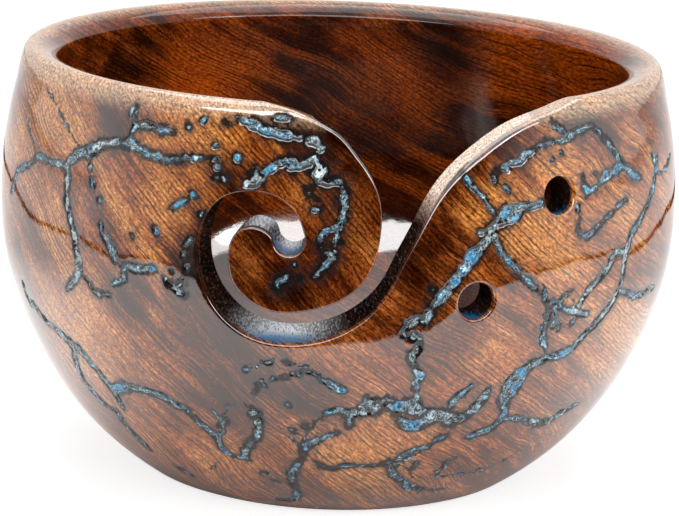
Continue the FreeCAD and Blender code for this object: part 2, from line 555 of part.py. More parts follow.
def inlay_outline(points):
    """Closed outline round a line of points with widths, or round one bead."""
    if len(points) == 1:
        middle, width = points[0]
        turn = [2 * math.pi * (i + bead_turn) / bead_corners for i in range(bead_corners)]
        return [(middle[0] + width / 2 * math.cos(a), middle[1] + width / 2 * math.sin(a)) for a in turn]
    left_side = []
    right_side = []
    last = len(points) - 1
    for i, (place, width) in enumerate(points):
        before = points[max(i - 1, 0)][0]
        after = points[min(i + 1, last)][0]
        along = FreeCAD.Vector(after[0] - before[0], after[1] - before[1], 0)
        along.normalize()
        half = width / 2
        if i in (0, last):
            reach = -half if i == 0 else half
            tip = (place[0] + along.x * reach, place[1] + along.y * reach)
            half *= inlay_end_factor
        left_side.append((place[0] - along.y * half, place[1] + along.x * half))
        right_side.append((place[0] + along.y * half, place[1] - along.x * half))
        if i == 0:
            left_side.insert(0, tip)
        elif i == last:
            left_side.append(tip)
    return left_side + right_side[::-1]


def inlay_solids(lines, band, cutters):
    """Resin of lines that are cast as one: drawn on a plane, pushed through the outer layer of the wall."""
    rise = bowl_height / inlay_map_height
    azimuths = [point[0] for line in lines for point in line]
    heights = [point[1] * rise for line in lines for point in line]
    tilt = wall_tilt((min(heights) + max(heights)) / 2)
    facing = (min(azimuths) + max(azimuths)) / 2
    out = direction(facing, tilt)
    right = direction(facing + 90)
    up = right.cross(out) * -1
    centre = out * inlay_plane_distance + FreeCAD.Vector(0, 0, belt_height)
    faces = []
    for line in lines:
        flat = []
        for azimuth, height, width in line:
            height = height * rise
            place = direction(azimuth) * wall_radius(height) + FreeCAD.Vector(0, 0, height)
            offset = place - centre
            flat.append(((offset.dot(right), offset.dot(up)), width * inlay_width_factor))
        outline = [centre + right * x + up * y for x, y in inlay_outline(flat)]
        faces.append(Part.Face(Part.makePolygon(outline + outline[:1])))
    joined = faces[0]
    if len(faces) > 1:
        joined = faces[0].fuse(faces[1:]).removeSplitter()
    solids = []
    for face in joined.Faces:
        resin = face.extrude(out * -inlay_reach).common(band)
        for cutter in cutters:
            resin = resin.cut(cutter)
        solids += [solid for solid in resin.Solids if solid.Volume > smallest_inlay]
    return solids


def save(shape, name):
    shape.exportStep(os.path.join("parts", name + ".step"))


def main():
    os.makedirs("parts", exist_ok=True)
    cutters = [
        slot_cutter(),
        guide_bore(upper_guide_azimuth, upper_guide_height),
        guide_bore(lower_guide_azimuth, lower_guide_height),
    ]
    band = inlay_band()
    inlays = {name: inlay_solids(lines, band, cutters) for name, lines in veins.items()}
    for name, lines in beads.items():
        inlays[name] = [solid for line in lines for solid in inlay_solids([line], band, cutters)]
    body = turned_body()
    for cutter in cutters:
        body = body.cut(cutter)
    for name, solids in inlays.items():
        resin = Part.makeCompound(solids)
        save(resin, name)
        print(name, len(solids), "solids", round(resin.Volume, 1), "mm3", resin.isValid())
    body = body.cut([solid for solids in inlays.values() for solid in solids])
    save(body.Solids[0], "bowl_body")
    print("bowl_body", len(body.Solids), "solid", round(body.Volume, 1), "mm3", body.isValid())


main()
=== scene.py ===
import math

import bmesh
import bpy
import numpy as np
from mathutils import Matrix, Vector, kdtree
from mathutils.geometry import delaunay_2d_cdt


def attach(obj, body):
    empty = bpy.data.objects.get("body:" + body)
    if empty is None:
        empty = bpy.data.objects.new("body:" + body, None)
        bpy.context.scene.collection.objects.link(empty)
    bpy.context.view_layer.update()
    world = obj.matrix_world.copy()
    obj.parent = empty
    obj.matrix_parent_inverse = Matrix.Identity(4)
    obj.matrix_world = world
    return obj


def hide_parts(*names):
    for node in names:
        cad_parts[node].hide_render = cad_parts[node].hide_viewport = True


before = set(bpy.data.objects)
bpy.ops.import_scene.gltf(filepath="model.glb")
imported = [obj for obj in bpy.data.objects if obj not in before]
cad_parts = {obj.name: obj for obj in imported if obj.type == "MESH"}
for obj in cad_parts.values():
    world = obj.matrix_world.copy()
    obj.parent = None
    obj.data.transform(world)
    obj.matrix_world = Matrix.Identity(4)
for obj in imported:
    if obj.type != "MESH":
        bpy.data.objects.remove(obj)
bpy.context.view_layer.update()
MM = 0.001

# ---------------------------------------------------------------- the bowl's sizes, in millimetres
BOWL_HEIGHT = 95.0
BELT_RADIUS = 76.0
BELT_HEIGHT = 62.0
FOOT_RADIUS = 42.0
FOOT_BEVEL = 0.8
SHOULDER_RADIUS = 73.2
SHOULDER_HEIGHT = 85.5
WALL = 8.0
LIP_CREST_RADIUS = 69.6
LIP_OUTER_BULGE = 2.2
LIP_INNER_DROP = 4.5
LIP_OUTER_PULL = 0.6
LIP_INNER_PULL = 0.65
FLOOR_THICKNESS = 7.5
FLOOR_CORNER_RADIUS = 14.0
FOOT_RECESS_DEPTH = 1.5
FOOT_RECESS_RADIUS = 31.0
GUIDE_BORE_RADIUS = 4.0
GUIDE_HOLES = [(37.8, 76.0), (22.8, 55.3)]
SLOT_WIDTH = 7.5
SLOT_END_RADIUS = 3.4
SLOT_AIM = (0.0, 10.0, 80.0)

# Middle line of the slot: place to the right, drop below the rim, extra width
SLOT_ROUTE = [
    (11.0, 31.2, -1.6), (8.2, 37.0, -1.6), (3.5, 41.8, -0.9), (-3.2, 45.2, 0.0), (-10.0, 46.7, 0.1),
    (-16.6, 46.1, 0.4), (-21.7, 43.3, 0.2), (-24.9, 39.4, -0.1), (-26.6, 32.9, -0.1), (-26.0, 27.4, 0.0),
    (-23.4, 23.4, 0.2), (-19.0, 21.5, -0.2), (-13.9, 22.0, -0.1), (-10.9, 24.3, -0.4),
]
SLOT_END = (-9.8, 26.9)
THROAT_SHOULDER = [
    (84.0, -13.0), (72.0, -7.6), (62.0, -3.7), (49.3, 0.1), (41.6, 3.0), (37.0, 5.4), (31.2, 9.0),
    (26.2, 12.9), (21.0, 19.0), (17.2, 25.9),
]
SCROLL_HEAD = [
    (9.1, 25.5), (9.2, 20.6), (8.2, 16.4), (6.2, 12.5), (3.5, 8.9), (0.0, 5.1), (-4.3, 2.6),
    (-9.3, 0.4), (-16.0, -1.4), (-26.0, -3.6), (-38.0, -8.0),
]

# ---------------------------------------------------------------- how finely the surfaces are made
COLUMNS = 960
ROW_STEP = 0.43
EDGE_STEP = 0.42
CELL_COLUMNS = 3824
CELL = 2 * math.pi * BELT_RADIUS / CELL_COLUMNS
EDGE_ROUND = 0.55
THROAT_ROUND = 1.3
HOLE_ROUND = 0.6
SHEET_END_HEIGHT = 24.0


def belly():
    c = (BELT_RADIUS ** 2 - FOOT_RADIUS ** 2 - BELT_HEIGHT ** 2) / (2 * (BELT_RADIUS - FOOT_RADIUS))
    return c, BELT_RADIUS - c


def neck():
    rise = SHOULDER_HEIGHT - BELT_HEIGHT
    c = (BELT_RADIUS ** 2 - SHOULDER_RADIUS ** 2 - rise ** 2) / (2 * (BELT_RADIUS - SHOULDER_RADIUS))
    return c, BELT_RADIUS - c


def arc_points(arc, inset, low, high, count=400):
    """Profile points (radius, height) on a wall arc, evenly spaced from one height to another."""
    c, r = arc[0], arc[1] - inset
    a = np.linspace(math.asin((low - BELT_HEIGHT) / r), math.asin((high - BELT_HEIGHT) / r), count)
    return np.stack([c + r * np.cos(a), BELT_HEIGHT + r * np.sin(a)], 1)


def bezier(poles, count=120):
    t = np.linspace(0, 1, count)[:, None]
    a, b, c, d = [np.array(p, float) for p in poles]
    return a * (1 - t) ** 3 + 3 * b * t * (1 - t) ** 2 + 3 * c * t * t * (1 - t) + d * t ** 3


def make_profile():
    """The profile from the foot up the outside, over the lip and down the inside to the middle of the floor."""
    low, high = belly(), neck()
    inner_top = BOWL_HEIGHT - LIP_INNER_DROP

    def slope(arc, inset, height):
        a = math.asin((height - BELT_HEIGHT) / (arc[1] - inset))
        return np.array([-math.sin(a), math.cos(a)])

    shoulder = np.array([SHOULDER_RADIUS, SHOULDER_HEIGHT])
    crest = np.array([LIP_CREST_RADIUS, BOWL_HEIGHT])
    inner = arc_points(high, WALL, inner_top, inner_top, 2)[0]
    out_pull = slope(high, 0, SHOULDER_HEIGHT) * LIP_OUTER_PULL * (BOWL_HEIGHT - SHOULDER_HEIGHT)
    in_pull = slope(high, WALL, inner_top) * LIP_INNER_PULL * LIP_INNER_DROP
    crest_out = crest + np.array([LIP_OUTER_BULGE, 0])
    crest_in = np.array([(crest[0] + inner[0]) / 2, BOWL_HEIGHT])
    floor_top = FOOT_RECESS_DEPTH + FLOOR_THICKNESS
    corner_z = floor_top + FLOOR_CORNER_RADIUS
    reach = low[1] - WALL - FLOOR_CORNER_RADIUS
    corner_r = low[0] + math.sqrt(reach ** 2 - (BELT_HEIGHT - corner_z) ** 2)
    away = math.atan2(corner_z - BELT_HEIGHT, corner_r - low[0])
    turn = np.linspace(away, -math.pi / 2, 80)
    corner = np.stack([corner_r + FLOOR_CORNER_RADIUS * np.cos(turn),
                       corner_z + FLOOR_CORNER_RADIUS * np.sin(turn)], 1)
    runs = [
        arc_points(low, 0, FOOT_BEVEL, BELT_HEIGHT),
        arc_points(high, 0, BELT_HEIGHT, SHOULDER_HEIGHT),
        bezier([shoulder, shoulder + out_pull, crest_out, crest]),
        bezier([crest, crest_in, inner + in_pull, inner]),
        arc_points(high, WALL, inner_top, BELT_HEIGHT),
        arc_points(low, WALL, BELT_HEIGHT, corner[0][1]),
        corner,
        np.array([[corner_r, floor_top], [0.4, floor_top]]),
    ]
    points = runs[0]
    for run in runs[1:]:
        points = np.vstack([points, run[1:]])
    along = np.concatenate([[0], np.cumsum(np.hypot(*np.diff(points, axis=0).T))])
    s = np.arange(0, along[-1], 0.05)
    r, z = np.interp(s, along, points[:, 0]), np.interp(s, along, points[:, 1])
    tr, tz = np.gradient(r), np.gradient(z)
    length = np.hypot(tr, tz)
    kernel = np.ones(15) / 15
    nr = np.convolve(np.pad(tz / length, 7, mode="edge"), kernel, "valid")
    nz = np.convolve(np.pad(-tr / length, 7, mode="edge"), kernel, "valid")
    length = np.hypot(nr, nz)
    return s, r, z, nr / length, nz / length


P_S, P_R, P_Z, P_NR, P_NZ = make_profile()
CREST = int(np.argmax(P_Z))
S_CREST = P_S[CREST]
S_END = P_S[CREST + int(np.argmin(np.abs(P_Z[CREST:] - SHEET_END_HEIGHT)))]


def place(azimuth, s, lift=0.0):
    """Points in space from azimuth (radians) and length along the profile, lifted off the surface."""
    r = np.interp(s, P_S, P_R) + lift * np.interp(s, P_S, P_NR)
    z = np.interp(s, P_S, P_Z) + lift * np.interp(s, P_S, P_NZ)
    return np.stack([r * np.sin(azimuth), -r * np.cos(azimuth), z + 0 * azimuth], -1)


def profile_length(r, z, inside):
    """Length along the profile of the nearest profile point, on the outside or the inside."""
    part = slice(CREST - 4, None) if inside else slice(0, CREST + 5)
    near = [(np.hypot(P_R[part] - a, P_Z[part] - b)).argmin() for a, b in zip(r, z)]
    return P_S[part][np.array(near)]


def spline(points, step):
    """A smooth curve through points, as evenly spaced points."""
    p = np.array(points, float)
    t = np.concatenate([[0], np.cumsum(np.hypot(*np.diff(p, axis=0).T))])
    n = len(p)
    h = np.diff(t)
    a, b = np.zeros((n, n)), np.zeros((n, 2))
    a[0, 0] = a[-1, -1] = 1
    for i in range(1, n - 1):
        a[i, i - 1:i + 2] = h[i - 1], 2 * (h[i - 1] + h[i]), h[i]
        b[i] = 6 * ((p[i + 1] - p[i]) / h[i] - (p[i] - p[i - 1]) / h[i - 1])
    m = np.linalg.solve(a, b)
    x = np.linspace(0, t[-1], max(2, int(t[-1] / step)))
    i = np.clip(np.searchsorted(t, x) - 1, 0, n - 2)
    u, v = (t[i + 1] - x)[:, None], (x - t[i])[:, None]
    w = h[i][:, None]
    return (m[i] * u ** 3 + m[i + 1] * v ** 3) / (6 * w) + (p[i] / w - m[i] * w / 6) * u \
        + (p[i + 1] / w - m[i + 1] * w / 6) * v


def slot_path():
    """The slot's outline, seen from the front: down the right side, round the end and up the scroll."""
    outer, tongue = [], []
    route = SLOT_ROUTE + [SLOT_END + (0.0,)]
    for i, (x, drop, extra) in enumerate(SLOT_ROUTE):
        before, after = route[max(i - 1, 0)], route[i + 1]
        along = np.array([after[0] - before[0], before[1] - after[1]])
        along /= np.hypot(*along)
        half = (SLOT_WIDTH + extra) / 2
        outer.append((x - along[1] * half, drop - along[0] * half))
        tongue.append((x + along[1] * half, drop + along[0] * half))
    before = SLOT_ROUTE[-1]
    along = np.array([SLOT_END[0] - before[0], before[1] - SLOT_END[1]])
    along /= np.hypot(*along)
    x, drop = SLOT_END
    radius = SLOT_END_RADIUS
    outer_end = (x - along[1] * radius, drop - along[0] * radius)
    tongue_end = (x + along[1] * radius, drop + along[0] * radius)
    start = math.atan2(-(outer_end[1] - drop), outer_end[0] - x)
    turn = start - np.linspace(0, math.pi, 26)[1:-1]
    cap = np.stack([x + radius * np.cos(turn), drop - radius * np.sin(turn)], 1)
    right = spline(THROAT_SHOULDER + outer + [outer_end], EDGE_STEP)
    left = spline([tongue_end] + tongue[::-1] + SCROLL_HEAD, EDGE_STEP)
    path = np.vstack([right, cap, left])
    return np.stack([path[:, 0], BOWL_HEIGHT - path[:, 1]], 1)


def wall_depth(points):
    """How deep points lie inside the wall, in millimetres; below zero outside it."""
    r, z = np.hypot(points[..., 0], points[..., 1]), points[..., 2]
    outer = np.interp(z, P_Z[:CREST + 1], P_R[:CREST + 1])
    inner = np.interp(z, P_Z[CREST:][::-1], P_R[CREST:][::-1])
    return np.where(z <= BOWL_HEIGHT, np.minimum(r - inner, outer - r), BOWL_HEIGHT - z), r - inner, outer - r


def pierce(start, way, low, high):
    """Where rays enter the wall from inside and where they leave it. Rays that miss it get NaN."""
    t = np.linspace(low, high, 700)
    depth = wall_depth(start[:, None] + way[:, None] * t[None, :, None])[0]
    hit = (depth > 0).any(1)
    first = np.argmax(depth > 0, 1)
    last = len(t) - 1 - np.argmax(depth[:, ::-1] > 0, 1)
    ends = []
    for at, step in ((first, -1), (last, 1)):
        good, bad = t[at], t[np.clip(at + step, 0, len(t) - 1)]
        for _ in range(30):
            mid = (good + bad) / 2
            ok = wall_depth(start + way * mid[:, None])[0] > 0
            good, bad = np.where(ok, mid, good), np.where(ok, bad, mid)
        ends.append(start + way * good[:, None])
    return hit, ends[0], ends[1]


def to_surface(points, inside):
    """Azimuth and profile length of points on the wall."""
    r = np.hypot(points[:, 0], points[:, 1])
    return np.arctan2(points[:, 0], -points[:, 1]), profile_length(r, points[:, 2], inside)


def shifted(azimuth, s, amount, side):
    """A curve on the surface, moved sideways on it."""
    r = np.interp(s, P_S, P_R)
    du, ds = np.gradient(azimuth) * r, np.gradient(s)
    length = np.hypot(du, ds)
    return azimuth - side * ds / length * amount / r, s + side * du / length * amount


FILLET = (0.2, 0.5, 0.8)
ACROSS = (0.12, 0.3, 0.5, 0.7, 0.88)


def cut_rows(out_edge, in_edge, out_start, in_start, round_by):
    """Rows of points over a cut face, from the outside, round one edge, through the wall and round the other."""
    way = in_edge - out_edge
    width = np.linalg.norm(way, axis=1)[:, None]
    near, far = out_edge + way * (round_by / width), in_edge - way * (round_by / width)
    columns = [out_start]
    columns += [out_start * (1 - t) ** 2 + 2 * out_edge * t * (1 - t) + near * t * t for t in FILLET]
    columns.append(near)
    columns += [near + (far - near) * t for t in ACROSS]
    columns.append(far)
    columns += [far * (1 - t) ** 2 + 2 * in_edge * t * (1 - t) + in_start * t * t for t in FILLET]
    columns.append(in_start)
    return np.stack(columns, 1)


# ---------------------------------------------------------------- the slot and the guide holes
aim = np.array(SLOT_AIM)
path = slot_path()
targets = np.stack([path[:, 0], np.full(len(path), -BELT_RADIUS), path[:, 1]], 1)
starts = np.repeat(aim[None], len(path), 0)
hit, entry, leave = pierce(starts, targets - starts, 0.4, 1.3)
kept = np.nonzero(hit)[0]
kept = np.arange(kept[0], kept[-1] + 1)
entry, leave, path_drop = entry[kept], leave[kept], BOWL_HEIGHT - path[kept, 1]
out_az, out_s = to_surface(leave, False)
in_az, in_s = to_surface(entry, True)
gap = np.linalg.norm(entry - leave, axis=1)
soft = np.clip((24.0 - path_drop) / 16.0, 0, 1) * (np.arange(len(path_drop)) < 0.5 * len(path_drop))
round_by = np.minimum(EDGE_ROUND + (THROAT_ROUND - EDGE_ROUND) * soft, 0.42 * gap)[:, None]
oa, os_ = shifted(out_az, out_s, round_by[:, 0], 1)
ia, is_ = shifted(in_az, in_s, round_by[:, 0], -1)
slot_rows = cut_rows(leave, entry, place(oa, os_), place(ia, is_), round_by)
across = slot_rows.shape[1]
end_flat = []
for k in (0, -1):
    t = np.linspace(0, 1, across)
    flat_az, flat_s = oa[k] + (ia[k] - oa[k]) * t, os_[k] + (is_[k] - os_[k]) * t
    slot_rows[k] = place(flat_az, flat_s)
    end_flat.append(np.stack([flat_az, flat_s], 1))
slot_loop = np.vstack([np.stack([oa, os_], 1), end_flat[1][1:-1], np.stack([ia, is_], 1)[::-1],
                       end_flat[0][1:-1][::-1]])

hole_rows, hole_loops, hole_frames = [], [], []
for azimuth, height in GUIDE_HOLES:
    arc = belly() if height < BELT_HEIGHT else neck()
    tilt = math.asin((height - BELT_HEIGHT) / arc[1])
    a = math.radians(azimuth)
    out = np.array([math.sin(a) * math.cos(tilt), -math.cos(a) * math.cos(tilt), math.sin(tilt)])
    side = np.array([math.cos(a), math.sin(a), 0.0])
    up = np.cross(side, out)
    mouth = np.array([0, 0, height]) + np.array([math.sin(a), -math.cos(a), 0]) * np.interp(
        height, P_Z[:CREST], P_R[:CREST])
    hole_frames.append((mouth, out))
    turn = np.linspace(0, 2 * math.pi, 73)[:-1]
    ring = side * np.cos(turn)[:, None] + up * np.sin(turn)[:, None]
    edges = []
    for radius in (GUIDE_BORE_RADIUS, GUIDE_BORE_RADIUS + HOLE_ROUND):
        origin = mouth - out * 14 + ring * radius
        edges.append(pierce(origin, np.repeat(out[None], len(turn), 0), 0.0, 20.0)[1:])
    (inner_edge, outer_edge), (inner_wide, outer_wide) = edges
    wide_out, wide_in = to_surface(outer_wide, False), to_surface(inner_wide, True)
    rows = cut_rows(outer_edge, inner_edge, place(*wide_out), place(*wide_in),
                    np.full((len(turn), 1), HOLE_ROUND))
    hole_rows.append(rows)
    hole_loops += [np.stack(wide_out, 1), np.stack(wide_in, 1)]

# ---------------------------------------------------------------- where the resin lies, as a map of the outside
MAP_ROWS = int(S_CREST / CELL) + 1
cell_s = (np.arange(MAP_ROWS) + 0.5) * CELL
cell_az = (np.arange(CELL_COLUMNS) + 0.5) / CELL_COLUMNS * 2 * math.pi - math.pi
row_scale = np.interp(cell_s, P_S, P_R) / BELT_RADIUS


def map_column(azimuth):
    return (azimuth + math.pi) / (2 * math.pi) * CELL_COLUMNS - 0.5


def map_row(s):
    return s / CELL - 0.5


resin_nodes = sorted(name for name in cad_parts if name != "bowl_body")
owner = np.zeros((MAP_ROWS, CELL_COLUMNS), np.int16)
for index, name in enumerate(resin_nodes, 1):
    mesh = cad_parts[name].data
    co = np.empty(len(mesh.vertices) * 3, np.float32)
    mesh.vertices.foreach_get("co", co)
    co = co.reshape(-1, 3).astype(float) / MM
    mesh.calc_loop_triangles()
    tri = np.empty(len(mesh.loop_triangles) * 3, np.int32)
    mesh.loop_triangles.foreach_get("vertices", tri)
    corners = co[tri.reshape(-1, 3)]
    radius = np.hypot(corners[..., 0], corners[..., 1])
    skin = np.interp(corners[..., 2], P_Z[:CREST], P_R[:CREST])
    face_normal = np.cross(corners[:, 1] - corners[:, 0], corners[:, 2] - corners[:, 0])
    size = np.linalg.norm(face_normal, axis=1)
    middle = corners.mean(1)
    away = np.stack([middle[:, 0], middle[:, 1], middle[:, 2] - BELT_HEIGHT], 1)
    away /= np.linalg.norm(away, axis=1)[:, None]
    facing = (face_normal * away).sum(1) / np.maximum(size, 1e-9)
    top = (np.abs(radius - skin).max(1) < 0.2) & (facing > 0.5)
    corners = corners[top]
    heights = np.interp(corners[..., 2], P_Z[:CREST], P_S[:CREST])
    azimuths = np.arctan2(corners[..., 0], -corners[..., 1])
    span = azimuths.max(1) - azimuths.min(1) > math.pi
    azimuths[span] = np.where(azimuths[span] < 0, azimuths[span] + 2 * math.pi, azimuths[span])
    xs, ys = map_column(azimuths), map_row(heights)
    for x, y in zip(xs, ys):
        x0, x1 = int(math.floor(x.min())), int(math.ceil(x.max()))
        y0, y1 = max(0, int(math.floor(y.min()))), min(MAP_ROWS - 1, int(math.ceil(y.max())))
        gx, gy = np.meshgrid(np.arange(x0, x1 + 1), np.arange(y0, y1 + 1))
        area = (x[1] - x[0]) * (y[2] - y[0]) - (x[2] - x[0]) * (y[1] - y[0])
        if abs(area) < 1e-6:
            continue
        a = ((x[1] - gx) * (y[2] - gy) - (x[2] - gx) * (y[1] - gy)) / area
        b = ((x[2] - gx) * (y[0] - gy) - (x[0] - gx) * (y[2] - gy)) / area
        inside = (a >= -1e-3) & (b >= -1e-3) & (a + b <= 1 + 1e-3)
        owner[gy[inside], gx[inside] % CELL_COLUMNS] = index


cast = owner > 0
# Cracks too thin for the CAD model: half their width, then their azimuths and heights
THREADS = [
    (0.34, [(0.5, 24.5), (-2.0, 23.0), (-5.3, 21.5), (-7.3, 23.3)]),
    (0.24, [(-5.3, 21.5), (-3.7, 25.5), (-2.0, 28.3), (0.0, 30.0), (2.6, 31.0)]),
    (0.30, [(21.0, 23.0), (19.8, 21.5), (18.4, 20.0), (16.7, 18.5), (14.9, 17.0), (14.0, 14.5), (16.0, 12.0),
            (19.0, 9.7), (22.5, 8.1), (26.5, 6.8), (30.0, 7.0)]),
    (0.22, [(14.9, 17.0), (17.0, 14.3), (19.0, 11.7)]),
    (0.22, [(25.8, 17.0), (25.0, 15.3), (24.5, 13.5), (24.4, 11.7), (27.0, 11.4), (30.6, 11.4), (36.0, 11.6),
            (40.5, 13.0), (44.0, 15.7)]),
    (0.22, [(34.7, 57.6), (35.7, 54.0), (35.8, 48.6), (36.1, 44.0)]),
    (0.20, [(35.7, 54.0), (38.1, 51.0), (39.5, 48.0), (42.8, 48.8), (41.3, 53.2)]),
    (0.32, [(64.7, 80.0), (66.0, 76.6), (76.0, 77.0)]),
    (0.20, [(36.5, 91.0), (38.1, 89.7), (39.2, 88.4)]),
    (0.18, [(-66.2, 82.2), (-63.1, 79.5), (-60.0, 76.8)]),
    (0.16, [(-61.0, 90.0), (-58.5, 89.1), (-53.4, 85.4), (-49.7, 82.6), (-47.6, 80.8)]),
    (0.18, [(-36.8, 91.0), (-36.6, 89.6), (-35.9, 87.7)]),
    (0.34, [(-21.6, 27.9), (-20.1, 25.9), (-20.1, 23.3), (-22.1, 20.2)]),
    (0.16, [(-20.1, 25.9), (-17.7, 29.9), (-14.9, 30.9), (-13.8, 29.0)]),
    (0.20, [(-24.0, 13.6), (-26.9, 10.6)]),
    (0.55, [(14.7, 39.5), (14.2, 37.5), (14.6, 35.5), (14.0, 33.0)]),
]
# Rows of dots: their radius, then azimuths and heights
DOTS = [
    (0.26, [(-14.0, 39.0), (-11.7, 41.0), (-9.2, 42.0), (-6.8, 41.6), (-4.6, 40.7), (-2.7, 39.5), (-0.7, 37.2)]),
    (0.36, [(-13.0, 33.3), (-12.5, 35.3), (-11.2, 37.0), (-9.4, 37.8), (-7.8, 39.0), (-6.0, 39.6), (-4.2, 39.8)]),
    (0.24, [(24.1, 79.4), (25.4, 80.8), (27.3, 82.3), (30.2, 84.0)]),
]


def draw_thread(size, points, dotted):
    """Adds a thin crack, or a row of dots, to the resin that lies nearest to its first point."""
    line = spline([(math.radians(a) * BELT_RADIUS, h) for a, h in points], 0.05)
    run = np.arange(len(line)) * 0.05
    line[:, 0] += 0.20 * np.sin(run * 2.3 + 1) + 0.10 * np.sin(run * 6.1)
    line[:, 1] += 0.20 * np.sin(run * 1.9) + 0.10 * np.sin(run * 5.3 + 2)
    if dotted:
        line, run = line[::28], run[::28]
    x = np.round(map_column(line[:, 0] / BELT_RADIUS)).astype(int)
    y = np.round(map_row(np.interp(line[:, 1], P_Z[:CREST], P_S[:CREST]))).astype(int)
    there_y, there_x = np.nonzero(owner)
    index = owner[there_y, there_x][np.argmin((there_y - y[0]) ** 2 + (there_x - x[0]) ** 2)]
    for x0, y0, t in zip(x, y, run):
        radius = size * (0.7 + 0.5 * abs(math.sin(1.9 * t + 0.7))) / CELL
        n = int(radius) + 1
        gx, gy = np.meshgrid(np.arange(x0 - n, x0 + n + 1), np.arange(max(0, y0 - n), min(MAP_ROWS, y0 + n + 1)))
        disc = (gx - x0) ** 2 + (gy - y0) ** 2 <= radius ** 2
        gx, gy = gx[disc] % CELL_COLUMNS, gy[disc]
        free = owner[gy, gx] == 0
        owner[gy[free], gx[free]] = index


for half, points_along in THREADS:
    draw_thread(half, points_along, False)
for half, points_along in DOTS:
    draw_thread(half, points_along, True)


def reach_map(feature, reach):
    """Distance in millimetres from each cell to the nearest feature cell, up to a reach."""
    cells = int(reach / CELL)
    wide = np.pad(feature, ((0, 0), (cells, cells)), mode="wrap")
    column = np.arange(wide.shape[1], dtype=np.float32)[None]
    far = 1e4
    left = column - np.maximum.accumulate(np.where(wide, column, -far), 1)
    right = np.minimum.accumulate(np.where(wide, column, far + column[0, -1])[:, ::-1], 1)[:, ::-1] - column
    flat = np.minimum(left, right)[:, cells:-cells] * row_scale[:, None] * CELL
    flat = np.minimum(flat, reach).astype(np.float32) ** 2
    best = flat.copy()
    for k in range(1, cells + 1):
        step = np.float32((k * CELL) ** 2)
        best[k:] = np.minimum(best[k:], flat[:-k] + step)
        best[:-k] = np.minimum(best[:-k], flat[k:] + step)
    return np.sqrt(np.minimum(best, reach ** 2))


resin_reach = reach_map(owner > 0, 6.0)
wood_reach = reach_map(owner == 0, 2.6)
signed = resin_reach - wood_reach
signed += np.where(signed > 0, -CELL / 2, CELL / 2)
# The wood is burnt beside the wide cracks, and hardly beside the thin ones
burnt_reach = np.where(owner > 0, signed, np.minimum(reach_map(cast, 6.0), resin_reach + 1.2))


def map_noise(size, seed):
    """Smooth noise from -1 to 1 over the map, with features of a size in millimetres."""
    rng = np.random.default_rng(seed)
    across = max(4, int(round(2 * math.pi * BELT_RADIUS / size)))
    rows = int(MAP_ROWS * CELL / size) + 3
    lattice = rng.uniform(-1, 1, (rows, across)).astype(np.float32)
    y = np.arange(MAP_ROWS) * CELL / size
    x = np.arange(CELL_COLUMNS) * across / CELL_COLUMNS
    y0, x0 = y.astype(int), x.astype(int)
    fy, fx = (y - y0)[:, None], (x - x0)[None]
    fy, fx = fy * fy * (3 - 2 * fy), fx * fx * (3 - 2 * fx)
    x1 = (x0 + 1) % across
    top = lattice[y0][:, x0] * (1 - fx) + lattice[y0][:, x1] * fx
    low = lattice[y0 + 1][:, x0] * (1 - fx) + lattice[y0 + 1][:, x1] * fx
    return (top * (1 - fy) + low * fy).astype(np.float32)


# Places where the resin is a pitted crust: azimuth, height, reach
CRUSTS = [
    (9.0, 31.5, 8.0), (17.0, 29.5, 7.0), (23.0, 28.0, 5.0), (-3.0, 83.0, 4.5), (-14.0, 79.5, 3.0),
    (-12.5, 27.5, 5.0), (13.0, 48.5, 6.5), (15.0, 40.5, 4.0), (-44.0, 79.5, 5.0), (25.0, 71.0, 3.0),
    (-26.0, 56.5, 4.0), (44.0, 22.0, 6.0), (-33.0, 88.0, 3.0), (212.0, 56.0, 6.0), (141.0, 73.0, 6.0),
]
# Places where it is a clear grey tube rather than blue
CLEAR = [
    (-48.5, 68.0, 9.0), (-46.0, 58.0, 7.0), (54.0, 58.0, 7.0), (52.0, 50.0, 5.0), (44.0, 54.0, 5.0),
    (-5.0, 88.5, 3.5), (-3.0, 82.5, 3.0), (-14.0, 79.0, 3.0), (-41.0, 81.5, 4.0),
]


# Pools of clear blue: azimuth, height, reach
POOLS = [
    (11.5, 32.0, 1.4), (15.0, 27.5, 1.9), (-0.5, 24.0, 1.0), (21.0, 23.5, 1.2), (2.0, 35.5, 1.0), (14.5, 39.0, 1.0),
    (27.0, 73.5, 1.1), (29.0, 72.0, 1.0), (21.5, 65.0, 1.5), (19.0, 60.0, 1.3), (44.0, 76.5, 1.2), (48.5, 79.5, 1.0),
    (53.0, 79.5, 1.0), (57.0, 76.5, 1.3), (-23.5, 76.0, 1.3), (-25.5, 73.5, 1.5), (-25.5, 87.5, 1.2),
    (-23.0, 89.0, 1.2), (-16.5, 84.0, 1.1), (-15.0, 88.5, 1.6), (-12.0, 88.0, 1.6), (-10.0, 87.5, 1.5),
    (-11.0, 82.0, 1.4), (-40.5, 70.5, 1.1), (-43.0, 74.5, 1.1), (-29.5, 58.5, 1.1), (-36.5, 8.0, 1.6),
    (-41.5, 29.0, 1.8), (-0.5, 30.5, 1.2), (42.5, 41.0, 1.8), (33.5, 38.0, 1.3), (34.0, 34.5, 1.5), (27.0, 23.5, 1.4),
    (16.0, 58.5, 1.2), (140.0, 70.0, 3.0), (215.0, 60.0, 3.0), (250.0, 50.0, 3.0),
]
